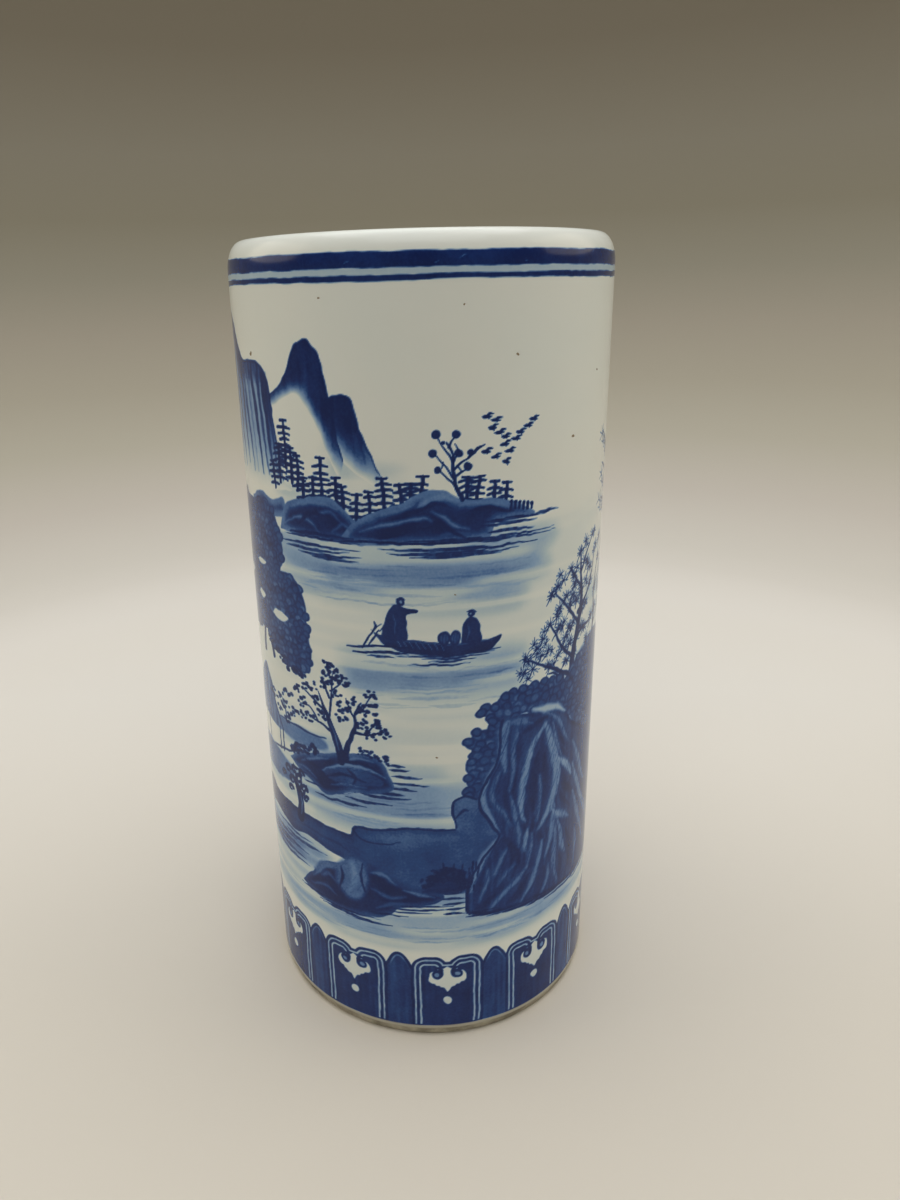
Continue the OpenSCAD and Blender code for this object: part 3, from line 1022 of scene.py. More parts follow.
class OldTree(Scenery):
    """A low knotted tree on the near bank, with curling boughs."""

    def paint(self, canvas: Canvas) -> None:
        """Draws the trunk, then the curls."""
        b = self.brush(canvas, "old_tree")
        b.line([(-53.6, 79), (-52.6, 84), (-53.4, 89), (-54.6, 92)], (4.8, 3.6, 3.8, 2.2), 0.93, 0.5)
        for s, h, r in ((-57.6, 92.4, 2), (-53.4, 94.8, 1.9), (-50.4, 91.8, 1.8),
                        (-55.8, 97.4, 1.7), (-51.6, 97.8, 1.5), (-60.2, 96.4, 1.7),
                        (-49.4, 88, 1.3), (-58.8, 88.4, 1.5), (-63.4, 92.8, 1.5)):
            turn = np.linspace(0.3, 5.4, 8) + b.rng.uniform(-0.6, 0.6)
            far = r * np.linspace(1, 0.45, 8)
            b.line(list(zip(s + far * np.cos(turn), h + far * np.sin(turn))),
                   (1.4, 1.5, 1.2, 0.8), 0.9, 0.35)
        b.lines((((-54, 90), (-57, 93), (-60, 96)), ((-53, 90), (-52, 94), (-51.6, 98)),
                 ((-52.6, 88), (-50, 91), (-49, 94)), ((-55, 90), (-55.4, 95), (-56, 100))), (1.4, 0.9, 0.4),
                0.9, 0.35)
        b.line([(-53, 80), (-52, 85), (-53, 89)], (0.5, 0.9, 0.4), 0.5, 0.5, opaque=True)


class NearBank(Scenery):
    """The flat near bank, washed in one even blue under a dark upper outline."""

    def paint(self, canvas: Canvas) -> None:
        """Fills the land, then draws its contours."""
        b = self.brush(canvas, "near_bank")
        top = ((-104, 82), (-92, 80), (-80, 82.6), (-72, 80.6), (-60, 81.2), (-48, 81.2),
               (-38, 80.7), (-29.4, 80.2), (-28.2, 83.2), (-26, 84.8), (-18, 85.6),
               (-10, 86.9), (0, 86.8), (9, 86.2), (17, 86))

        def land(s: Array, h: Array, depth: Array) -> Array:
            """Even blue, darker along the water and to the left."""
            return (0.645 + 0.10 * (1 - smooth(depth, 0.5, 3.5)) + 0.10 * smooth(-s, 30, 60)
                    - 0.06 * smooth(h, 78, 86))

        b.fill([*top, (23, 84), (25, 78), (19, 70), (13, 62), (4, 60), (-8, 61), (-16, 65), (-24, 68),
                (-38, 70.6), (-50, 72.4), (-60, 70.6), (-74, 73), (-90, 71), (-104, 72)], land, 0.5,
               rough=0.1)
        b.line(top, (0.8, 0.9, 0.8, 1, 0.9, 0.7), 0.75, 0.35)
        b.line([(-28.4, 83), (-25.6, 80.6), (-21, 79.8), (-15, 80.2), (-10.4, 81.6)],
               (0.6, 0.7, 0.6, 0.3), 0.65, 0.4)
        b.line([(-60, 75.4), (-48, 76), (-36, 75), (-30, 73.6)], (0.3, 1.2, 0.3), 0.3, 1)
        for left, right, h in (
                (-74, -46, 69.4), (-66, -40, 67.6), (-80, -58, 66), (-100, -80, 69), (-72, -50, 64),
                (-88, -60, 63), (-80, -52, 61), (-96, -66, 59.6), (-76, -50, 58.4)):
            b.ripples([(left, right, h)], 1.4, 0.6)
        for s, h in ((-70, 77), (-78, 78.4), (-88, 76)):
            b.line([(s - 5, h), (s, h + 1.6), (s + 6, h - 0.6)], (0.3, 1, 0.4), 0.6, 0.6)


class Boulder(Scenery):
    """A dark rock in the near water, with a pale stone on its crown and a bush."""

    def paint(self, canvas: Canvas) -> None:
        """Fills the rock, lifts out its lights and draws the bush."""
        b = self.brush(canvas, "boulder")
        outline = (
            (-55, 50.4), (-48.6, 57.6), (-44, 62.6), (-40, 65.6), (-34, 67.4), (-31.4, 71.2), (-27, 72.8),
            (-23.2, 71), (-21.2, 68.2), (-17.4, 68), (-13.6, 65), (-8, 63.2), (-3, 61.6), (3, 60),
            (4.2, 57.6), (0, 55.6), (-6, 54.6), (-12, 53.4), (-14.4, 50.2), (-20, 47.8), (-30, 46.8),
            (-42, 47.2), (-50, 48.8))
        b.fill(outline, shade(0.70, 0.28, 0.6, 3.0), 0.5)
        b.fill([(-37, 58), (-36.4, 63), (-34.6, 67.4), (-31.4, 70.6), (-27, 72), (-23.6, 70),
                (-22.8, 65.6), (-23.4, 60), (-26, 54.6), (-31.6, 53)], 0.5, 3.2)
        b.line([(-35.4, 56), (-33.4, 61.4), (-34, 66)], (0.5, 1.2, 0.5), 0.9, 0.6)
        b.line([(-25, 70), (-26, 64), (-24.6, 58)], (0.4, 1, 0.5), 0.8, 0.6)
        b.line([(-31, 56.6), (-28.4, 62), (-29.4, 68.6)], (0.6, 3, 2.4), 0.42, 2, opaque=True)
        b.line([(-47, 59.5), (-42, 63), (-36, 65), (-33, 68)], (1, 3.2, 3, 1.2), 0.54, 1.8, opaque=True)
        for path, load in (
                (((-48, 56), (-43, 61), (-38, 64)), 0.52), (((-50, 52), (-42, 54.4), (-37, 52)), 0.62),
                (((-22, 66.6), (-17, 66.6), (-13, 63.6)), 0.5), (((-10, 61.4), (-4, 60), (1, 58.4)), 0.48),
                (((-22, 60), (-15, 57.6), (-9, 58.6)), 0.6), (((-44, 58), (-40, 60), (-37, 58)), 0.62),
                (((-20, 52), (-14, 55), (-8, 56)), 0.62)):
            b.line(path, (0.5, 1.8, 1.4, 0.4), load, 1.4, opaque=True)
        b.hatch(outline, 3.4, 50, 3.4, 0.16, 0.6)
        b.ripples([(-56, -30, 49), (-46, -18, 47), (-12, 8, 54.6), (-14, 6, 53.2),
                   (-15, 0, 51.8), (-24, -8, 49.8)], 0.9, 0.88)
        for s in np.arange(-2, 13, 1.5):
            b.dots((s, 65 + 3.2 * math.sin((s + 2) / 4.6)), (1.6, 3), 9, 0.75, 0.7)
        b.fill([(-3, 61), (0, 66), (4, 70.6), (9, 70), (13, 64), (11, 60)], 0.62, 2, opaque=False)
        for s, h in ((4, 73), (7.6, 72.6), (10.6, 72)):
            b.line([(s, h - 2.6), (s + 0.4, h)], (0.6, 0.5), 0.85, 0.3)


@dataclass(frozen=True)
class Crag(Scenery):
    """The great crag: long pale ridges that fork downwards between dark hollows."""

    body: Outline = (
        (25, 126), (32, 126.6), (40, 125.4), (48, 124.6), (53.6, 121), (60, 114), (68, 109), (80, 104),
        (92, 92), (101, 74), (104, 56), (99, 47.6), (86, 45.6), (66, 45.6), (50, 46.6), (40, 48.4),
        (25, 48.8), (13.4, 50), (12.6, 55), (13, 61), (14.8, 67), (18.6, 73), (24, 79.6), (22.4, 84),
        (20, 88.6), (17.6, 94), (18, 101), (21.4, 107), (23.8, 113), (24, 120))
    caps: tuple[Outline, ...] = (
        ((17.6, 130), (19, 131.6), (22.4, 131), (26, 134.6), (33, 136), (42, 136),
         (50, 134.6), (56, 130), (60, 122), (54, 121), (47, 125), (38, 126.6),
         (30, 126.6), (24, 124.6), (22, 126)),
        ((13, 119.6), (16, 123), (22, 124), (26, 127), (26, 112), (21, 105), (18, 97),
         (13.4, 99), (13, 106), (14.6, 112)))
    ridges: tuple[tuple[Outline, float, float], ...] = (
        (((37.6, 127), (43, 125.8), (48.6, 124.4), (53.6, 121)), 1.9, 0.17),
        (((44, 124), (50, 119), (54.6, 112), (57.4, 108)), 1.2, 0.46),
        (((27.6, 125), (25.6, 121), (25.2, 115), (26.6, 106)), 2.6, 0.44),
        (((28, 124.6), (33, 124), (37, 122)), 1.8, 0.52),
        (((43.4, 119.4), (39, 115), (36.6, 110), (34.4, 101), (33, 92), (33.4, 87), (35.4, 83.6)), 2, 0.36),
        (((43.4, 119.4), (46, 113), (49.4, 104), (50.4, 96), (48.4, 88), (45.6, 83), (41.6, 78)), 2.9, 0.38),
        (((50.4, 103.6), (54.6, 100), (57.6, 96.6), (60.4, 92.6)), 2, 0.3),
        (((23, 110), (19.8, 104), (18.6, 98), (20, 91), (22.6, 85.6), (24.4, 81.6)), 1.7, 0.4),
        (((24.4, 106), (22, 100), (23.4, 94), (26.6, 89), (29, 84)), 1.2, 0.52),
        (((24.6, 80), (20.6, 75.6), (17.6, 71), (15.2, 65.4), (14.4, 60)), 2, 0.4),
        (((27.4, 73.6), (24.6, 69), (22.8, 65)), 1.3, 0.5),
        (((36.4, 80), (35.4, 75.6), (35, 71)), 1.6, 0.38), (((38.4, 77), (38, 70), (36, 63)), 1.2, 0.52),
        (((49, 87), (49.4, 79), (48.4, 72), (45.6, 64)), 1.8, 0.44),
        (((47.4, 84), (52, 79.6), (56.4, 77.4), (59.6, 75)), 1.8, 0.38),
        (((51.4, 78), (54, 71), (55.4, 65), (57.6, 60.4)), 2.2, 0.44),
        (((50, 78), (51, 68), (51, 58), (52.4, 50)), 1.8, 0.48),
        (((36.4, 64), (32, 59.6), (27, 56), (21, 50.6)), 1.5, 0.46),
        (((31, 66.6), (26.8, 63.4), (24, 60)), 1, 0.56),
        (((60.6, 106), (65, 98), (69, 90), (74, 83)), 1.8, 0.46),
        (((61, 96), (66, 86), (72, 76), (80, 68)), 2, 0.42),
        (((62, 84), (67, 74), (72, 64), (76, 54)), 1.8, 0.46), (((72, 74), (79, 66), (86, 58)), 1.7, 0.44),
        (((66, 66), (67, 58), (66, 50)), 1.5, 0.5),
        (((31, 121), (29.6, 114), (30, 106), (28.6, 98)), 1.3, 0.5),
        (((47, 118.6), (49.6, 111), (53, 104)), 1.2, 0.48),
        (((29, 96), (30.6, 88), (32.6, 80), (32.4, 74)), 1.3, 0.5),
        (((41.4, 100), (42.2, 91), (40.6, 82)), 1.2, 0.5),
        (((43.6, 72), (42, 64), (38.8, 56), (34.4, 50)), 1.5, 0.44),
        (((20.4, 68), (20, 62), (17.4, 55)), 1.1, 0.5), (((47.6, 60), (47, 54), (44.4, 49)), 1.2, 0.5))
    hollows: tuple[tuple[Outline, float], ...] = (
        (((40.4, 109), (38.4, 102), (37.8, 94), (38.6, 87)), 6),
        (((43.6, 108), (43.4, 98), (42.6, 88)), 3.2),
        (((31, 120), (30.4, 112), (29.6, 102), (30.6, 92)), 4.4),
        (((27.6, 100), (27.6, 93), (29.6, 86)), 2.4), (((33, 119), (38, 121), (44, 122.4)), 2.4),
        (((46.6, 116), (51, 113), (55, 107)), 2.6), (((46.6, 110), (52, 107), (57, 101)), 1.8),
        (((53, 98), (56, 90), (61, 84)), 3.4), (((52, 92), (54, 85), (60, 79)), 2),
        (((39, 84), (37.6, 79), (31, 84)), 2.4), (((21, 72), (19, 66), (17.6, 58)), 3.4),
        (((27, 79), (30.4, 73), (29, 66)), 3.2), (((31, 74), (32.6, 69), (30, 62)), 2),
        (((42, 76), (43.4, 70), (41, 64)), 3), (((46, 76), (46.6, 70), (44, 62)), 1.6),
        (((24, 57), (19, 53), (16, 52)), 2.6), (((37, 60), (33, 54), (28, 51)), 3.4),
        (((45, 60), (46, 54), (43, 49.4)), 3.4), (((54, 62), (55, 55), (54, 49)), 2.2),
        (((58, 90), (64, 80), (69, 70)), 2.4), (((58, 70), (61, 62), (61, 52)), 2.8),
        (((70, 84), (77, 75), (85, 66)), 2), (((70, 64), (73, 56), (74, 49)), 2.4),
        (((80, 62), (85, 55), (88, 49)), 2.2), (((64, 102), (69, 94), (74, 86)), 1.6))

    def paint(self, canvas: Canvas) -> None:
        """Draws the bushes behind, the low stone, the body, its hollows and its ridges."""
        bush = self.brush(canvas, "crag_shrubs")
        for cap in self.caps[::-1]:
            bush.fill(cap, 0.8, 0.6)
            bush.scales(cap, 2.2, 0.6, 0.2, 1.3)
            for s, h in curve([*cap, cap[0]], 2)[::2]:
                bush.dab((s, h), (2, 1.7), 0.62, 0.5, True, 0.26)
        b = self.brush(canvas, "crag")
        b.fill([(7.6, 95), (8.6, 98), (12.6, 99), (17, 97), (18, 93), (24, 82), (14, 83),
                (9, 86), (8.8, 89.4)], 0.6, 0.5)
        b.line([(9, 87), (8.6, 90), (7.8, 94), (8.6, 97.6), (12.4, 99), (16, 97.6)],
               (0.5, 0.9, 0.9, 0.6), 0.8, 0.35)
        b.line([(9, 91), (11.6, 93.6), (13.4, 93.4)], (0.4, 1.1, 0.3), 0.7, 0.6)
        b.fill(self.body, shade(0.92, -0.16, 0.4, 2.0), 0.5, streaks="upright", rough=0.14)
        for path, wide in self.hollows:
            b.line(path, (wide * 0.3, wide, wide * 0.9, wide * 0.25), 0.72, 1.6)
        for path, wide, load in self.ridges:
            b.line(path, (wide, wide * 2.4, wide * 2, wide * 0.6), 0.62, 3, opaque=True)
        for path, wide, load in self.ridges:
            side = [(s + wide * 0.85, h - 0.3) for s, h in path]
            b.line(side, (0.3, 1.3, 1, 0.3), 0.5, 1.2)
            b.line(path, (wide * 0.5, wide * 1.5, wide * 1.3, wide * 0.4), load, 1.8, opaque=True)
        b.hatch(self.body, 3, 245, 5.5, 0.16, 0.7)
        b.hatch(self.body, 4.4, 252, 11, 0.26, 0.9)
        b.line([(25.6, 126), (24.2, 120), (24, 113), (21.6, 107), (18, 101), (17.4, 94), (20, 88.6),
                (22.6, 84), (24.4, 79.6), (18.8, 73), (14.8, 67), (13, 61), (12.8, 54), (13.6, 50)],
               (0.8, 0.9, 1, 1.1, 0.9, 1.1, 0.9), 0.8, 0.4)
        b.ripples([(12, 30, 49), (20, 50, 48), (38, 66, 46.6), (12, 24, 50.6)], 1, 0.9)
        for s, h in b.scatter([(8, 66), (16, 72), (16, 62), (10, 60)], 2):
            b.line([(s, h - 1.2), (s + 0.2, h + 1.2)], (0.5, 0.7), 0.8, 0.3)


@dataclass(frozen=True)
class Grove(Scenery):
    """Leafy trees behind the crag, with pointed leaves on thin branches."""

    boughs: tuple[tuple[Outline, tuple[float, ...]], ...] = (
        (((57, 122), (56.4, 130), (57, 140), (60, 150), (62, 160), (61, 168), (60, 176)),
         (4.4, 3.8, 3, 2.6, 2, 1.4, 0.6)),
        (((57, 140), (52, 145), (48, 150), (44, 157)), (1.6, 1.2, 0.8, 0.4)),
        (((60, 152), (55, 158), (50, 163), (45.6, 166.8)), (1.6, 1.1, 0.7, 0.4)),
        (((56, 134), (50, 137), (44, 140.6), (38, 144), (33, 146)), (1.8, 1.3, 0.9, 0.4)),
        (((55, 130), (51, 134), (47, 137.4), (44, 138)), (1.2, 0.9, 0.5)),
        (((60, 156), (66, 161), (71, 168), (73, 174)), (1.8, 1.2, 0.8, 0.4)),
        (((58, 146), (65, 149), (72, 150), (78, 154)), (1.4, 1, 0.5)),
        (((62, 164), (57, 169), (53, 173)), (1, 0.8, 0.4)),
        (((61, 170), (65, 176), (69, 180)), (1, 0.8, 0.4)),
        (((70, 118), (72, 132), (76, 146), (75, 160), (79, 174)), (3, 2.4, 1.8, 1.2, 0.5)),
        (((76, 146), (83, 152), (88, 158)), (1.2, 0.9, 0.4)),
        (((75, 160), (82, 166), (86, 174)), (1, 0.7, 0.4)))
    sprigs: Outline = (
        (34, 146.4), (37, 142), (40.6, 146), (43.6, 147), (44, 156), (47.6, 158), (44.6, 140.6), (52, 149),
        (44.4, 166), (50, 170), (54, 172.6), (60, 177), (64, 180.4), (69.6, 181), (55, 160), (66, 172),
        (70, 165), (66, 158), (72, 150), (48.6, 143.6), (33.6, 141.6), (38.6, 149), (48, 153), (52, 164),
        (57, 167), (61, 163), (47, 168.6), (65, 166), (74, 176), (79, 170), (82, 160), (78, 152), (85, 166),
        (88, 174), (62, 150), (68, 144), (76, 160), (51, 155), (57, 153), (41, 152), (72, 142), (80, 178),
        (58, 141), (60, 146), (55, 146), (63, 156), (59, 160.6), (65, 149), (50.6, 146), (68, 170),
        (63, 173), (58, 172), (54, 152), (49, 161), (56, 163.6), (53, 140), (62, 136))

    def paint(self, canvas: Canvas) -> None:
        """Draws the boughs, then the leaves, then the undergrowth."""
        b = self.brush(canvas, "leafy_grove")
        for path, widths in self.boughs:
            b.line(path, widths, 0.92, 0.4)
        for s, h in self.sprigs:
            lean = b.rng.uniform(50, 130)
            b.sprig((s, h), 9, 2.8, lean, 135, 1.45)
            b.sprig((s + b.rng.uniform(-2.6, 2.6), h + b.rng.uniform(-2.8, 2.2)), 8, 2.4,
                    lean + 40, 135, 1.3)
            b.line([(s, h), (s - 2 + b.rng.uniform(-1, 1), h - 3)], (0.5, 0.3), 0.9, 0.3)
        under = [(50, 130), (58, 138), (66, 142), (78, 144), (92, 138), (98, 120), (92, 100),
                 (78, 96), (66, 104), (58, 116)]
        b.fill(under, 0.62, 2.4, opaque=False)
        b.scales(under, 2.2, 0.6, 0.22, 1.5)
        for s, h in b.scatter([(60, 118), (66, 136), (80, 140), (90, 128), (84, 106)], 5):
            b.sprig((s, h), 7, 3)
        for s, h, count in ((84, 196, 7), (78, 200, 6), (88, 206, 8), (82, 210, 8),
                            (76, 214, 6), (90, 216, 6), (86, 188, 7), (80, 190, 6),
                            (94, 200, 8), (94, 210, 7), (92, 190, 7), (76, 192, 4)):
            b.sprig((s, h), count, 3.6)
            b.sprig((s + 2, h - 3), count, 3.2, 60)
        b.line([(98, 150), (95, 170), (92, 186), (90, 200), (87, 212)], (2.6, 2.2, 1.6, 1), 0.92, 0.4)
        b.lines((((93, 184), (86, 189), (79, 192)), ((91, 196), (85, 201), (78, 204)),
                 ((90, 204), (94, 210), (96, 216)), ((88, 208), (82, 212), (77, 215))), (1.3, 0.9, 0.4))


# ---------------- border and rings


@dataclass(frozen=True)
class LappetBorder:
    """The border round the foot: broad panels with a scroll head, and narrow petals."""

    panels: int = 12
    middle: float = 5.5
    uneven: float = 4.2
    half_width: float = 13.1
    hump_top: float = 32.2
    cleft_top: float = 29.9

    def places(self, pot: PotShape) -> Array:
        """Middles of the panels, with the unevenness of spacing by eye."""
        k = np.arange(self.panels)
        return (self.middle + k * pot.girth / self.panels
                + self.uneven * np.sin(2 * np.pi * k / self.panels))

    def paint(self, canvas: Canvas) -> None:
        """Paints the petals, then the panels that overlap them."""
        at = self.places(canvas.pot)
        after = np.append(at[1:], at[0] + canvas.pot.girth)
        for k in range(self.panels):
            self.petal(canvas, k, (at[k] + after[k]) / 2)
        for k in range(self.panels):
            self.panel(canvas, k, at[k])

    def petal(self, canvas: Canvas, number: int, at: float) -> None:
        """One narrow petal: a pointed arch, depth = (33.3 - 0.25 x^2 - h) / slope."""
        b = Brush(canvas, f"border_petal_{number + 1:02d}", (at, 0), seed=number)
        w = b.window(np.array([[at - 5.6, -0.8], [at + 5.6, 34.2]]), 0.4, 0.6)
        x = w.s - at
        top = 33.3 + 0.5 * math.sin(2.4 * number) - 0.25 * x ** 2
        depth = np.minimum((top - w.h) / np.hypot(1, 0.5 * x), 5.5 - np.abs(x))
        load = (0.70 + 0.20 * canvas.upright[w.cells] - 0.10
                + 0.07 * canvas.mottle[w.cells] + 0.24 * (1 - smooth(depth, 0.7, 1.1)))
        gleam = 1 - smooth(np.abs(depth - 1.5), 0.15, 0.55)
        load = load - 0.28 * gleam * (1 - smooth(np.abs(x), 2.2, 4)) * (w.h > 24)
        cover = smooth(depth, -0.2, 0.2) * smooth(w.h, -0.3, 0.3)
        b.put(w.cells, cover, np.clip(load, 0, 1), True)

    def panel(self, canvas: Canvas, number: int, at: float) -> None:
        """One broad panel: two humps joined at a cleft.

        The depth inside is the greatest of the depths in three upright boxes with round
        upper corners.  The white lines stand at fixed depths.
        """
        b = Brush(canvas, f"border_panel_{number + 1:02d}", (at, 0), seed=number)
        w = b.window(np.array([[at - 15, -0.8], [at + 15, 33.4]]), 0.3, 0.5)
        x = w.s - at + 0.5 * math.sin(1.7 * number) * (w.h / 30 - 0.5)
        across = self.half_width / 2 + 0.15
        depth = np.full(w.s.shape, -9)
        for middle, half, top, bend in (
                (0, self.half_width, self.cleft_top, 3), (across, across, self.hump_top, 5.2),
                (-across, across, self.hump_top, 5.2)):
            out_s = np.abs(x - middle) - (half - bend)
            out_h = w.h - (top - bend)
            outside = np.hypot(np.maximum(out_s, 0), np.maximum(out_h, 0))
            depth = np.maximum(depth, bend - outside - np.minimum(np.maximum(out_s, out_h), 0))
        ground = (0.80 + 0.16 * canvas.upright[w.cells] - 0.07 + 0.10 * canvas.mottle[w.cells])
        load = ground + 0.10 * (1 - smooth(depth, 0.5, 1))
        for line_depth, wide in ((1.45, 0.36), (3.35, 0.4)):
            line = 1 - smooth(np.abs(depth - line_depth), wide - 0.22, wide + 0.22)
            line = line * smooth(w.h, 0.5, 1) * (0.86 + 0.14 * canvas.grain[w.cells])
            load = load * (1 - line) + 0.14 * line
        cover = smooth(depth, -0.2, 0.2) * smooth(w.h, -0.3, 0.3)
        b.put(w.cells, cover, np.clip(load, 0, 1), True)
        self.scroll_head(b)

    def scroll_head(self, b: Brush) -> None:
        """The white head: a scalloped heart whose two lobes curl round a dark hook."""
        right = ((0, 28), (1.3, 27), (1.8, 25.4), (3.4, 24.4), (4.9, 25.7), (6.2, 25.1),
                 (6.9, 23.5), (6.8, 21.9), (6, 20.7), (4.8, 20.3), (4.1, 19.4), (3.1, 19.1),
                 (2.5, 18.2), (1.4, 17.8), (0.6, 16.6))
        left = tuple((-s, h) for s, h in right[:0:-1])
        b.fill([*right, (0, 15.9), *left], 0.03, 0.5, rough=0)
        for side in (-1, 1):
            b.dab((side * 3.5, 24.3), (2.05, 1.95), 0.93, 0.5, True)
            b.dab((side * 3.8, 24.15), (0.95, 0.9), 0.4, 0.5, True)
            b.line([(side * 2, 24.9), (side * 2.2, 26.4), (side * 3.6, 27.2)], (1, 1.3, 0.9), 0.92, 0.4)
            b.line([(side * 4.2, 19.1), (side * 3.1, 18.6), (side * 1.6, 17.2)], 0.3, 0.4, 0.4)
        b.dab((0, 12.0 + 0.3 * math.sin(b.seed)), (1.8, 1.75), 0.05, 0.5, True)
        b.line([(0, 15.6), (0, 14.4)], (0.5, 0.2), 0.5, 0.6)


@dataclass(frozen=True)
class RimRings:
    """Two painted rings under the lip: a broad one, and a narrow one of uneven width."""

    worn: Outline = ((4.5, 268), (12.6, 269.8), (11.6, 269.2), (-21, 268.4), (60, 270.4), (-58, 270.6),
                     (31, 267.8), (120, 269), (-150, 268))

    def bleed(self, canvas: Canvas) -> None:
        """The halo of cobalt that ran between the rings: a bell curve up the wall."""
        middle = (canvas.pot.band[0] + canvas.pot.line[1]) / 2 - canvas.pot.paint_z
        halo = 0.17 * np.exp(-((canvas.h - middle) / 1.6) ** 2)
        canvas.wash = 1 - (1 - canvas.wash) * (1 - halo[:, None])

    def paint(self, canvas: Canvas) -> None:
        """Paints both rings on the turning pot."""
        pot = canvas.pot
        self.ring(canvas, "painted_rim_band", pot.band, 0)
        self.ring(canvas, "painted_rim_line", pot.line, 0.22)
        b = Brush(canvas, "painted_rim_band", seed=3)
        for s, h in self.worn:
            b.line([(s - 0.5, h - 0.1), (s + 0.4, h + 0.25)], (0.3, 0.5, 0.2), 0.45, 0.4, True)

    def ring(self, canvas: Canvas, name: str, span: tuple[float, float], sway: float) -> None:
        """One ring: cover = inside span, whose edges sway a little round the pot."""
        b = Brush(canvas, name)
        low, high = span[0] - canvas.pot.paint_z, span[1] - canvas.pot.paint_z
        i = np.flatnonzero((canvas.h > low - 1) & (canvas.h < high + 1))
        cells = np.ix_(i, np.arange(len(canvas.s)))
        s = canvas.s[None]
        h = canvas.h[i][:, None] + 0.5 * canvas.shake_h[cells]
        turn = 2 * np.pi * s / canvas.pot.girth
        under = low - sway * (0.5 - 0.6 * np.cos(turn)) + sway * 0.7 * np.sin(5 * turn)
        cover = smooth(h, under - 0.25, under + 0.25) * (1 - smooth(h, high - 0.25, high + 0.25))
        load = 0.90 + 0.10 * canvas.mottle[cells] - 0.05 * canvas.grain[cells]
        b.put(cells, cover, load, True)


# ---------------- finishes


def linear(colour: str) -> tuple[float, float, float, float]:
    """Turns an sRGB hex colour to the linear values that shaders take."""
    parts = [int(colour[k:k + 2], 16) / 255 for k in (0, 2, 4)]
    r, g, b = (c / 12.92 if c <= 0.04045 else ((c + 0.055) / 1.055) ** 2.4 for c in parts)
    return r, g, b, 1.0


def add_node(tree: Tree, kind: str, settings: dict, links: dict) -> bpy.types.Node:
    """Adds a shader node.

    Args:
        tree: Node tree that it joins.
        kind: Node type, without its common prefix.
        settings: Input values, by socket name or number, and properties, by name.
        links: Output sockets that feed its inputs, by socket name or number.

    Returns:
        The node.
    """
    node = tree.nodes.new("ShaderNode" + kind)
    for key, value in settings.items():
        if isinstance(key, int) or key in node.inputs:
            node.inputs[key].default_value = value
        else:
            setattr(node, key, value)
    for key, source in links.items():
        tree.links.new(source, node.inputs[key])
    return node


def colour_ramp(tree: Tree, source: Socket, marks: Sequence[tuple[float, str]]) -> Socket:
    """Turns a value to a colour between marked ones, given as (value, hex colour)."""
    ramp = add_node(tree, "ValToRGB", {}, {"Fac": source})
    held = ramp.color_ramp.elements
    held.remove(held[0])
    for k, (at, colour) in enumerate(marks):
        mark = held[0] if k == 0 else held.new(at)
        mark.position, mark.color = at, linear(colour)
    return ramp.outputs["Color"]


@dataclass(frozen=True)
class Finish:
    """A surface of the pot: a clear name, its gloss, and the nodes of its colour."""

    name: str = "finish"
    roughness: float = 0.2
    ior: float = 1.5
    relief_mm: Point = (3.0, 0.02)
    relief_detail: float = 2.0

    def colour(self, tree: Tree, place: Socket) -> Socket:
        """Adds the nodes that work out the colour, and gives their output."""
        raise NotImplementedError

    def relief(self, tree: Tree, place: Socket) -> Socket:
        """Fine relief, relief_mm across and deep, as a normal."""
        across, deep = self.relief_mm
        grain = add_node(tree, "TexNoise", {
            "Scale": 1 / (across * MM), "Detail": self.relief_detail, "Roughness": 0.5}, {"Vector": place})
        return add_node(tree, "Bump", {"Strength": 1.0, "Distance": deep * MM},
                        {"Height": grain.outputs["Fac"]}).outputs["Normal"]

    def material(self) -> bpy.types.Material:
        """Makes the material, or gives the one made before."""
        if self.name in bpy.data.materials:
            return bpy.data.materials[self.name]
        made = bpy.data.materials.new(self.name)
        made.use_nodes = True
        tree = made.node_tree
        tree.nodes.clear()
        place = add_node(tree, "TexCoord", {}, {}).outputs["Object"]
        shader = add_node(tree, "BsdfPrincipled", {"Roughness": self.roughness, "IOR": self.ior},
                          {"Base Color": self.colour(tree, place), "Normal": self.relief(tree, place)})
        add_node(tree, "OutputMaterial", {}, {"Surface": shader.outputs["BSDF"]})
        return made

    def dress(self, obj: Piece) -> None:
        """Gives an object this finish."""
        obj.data.materials.clear()
        obj.data.materials.append(self.material())


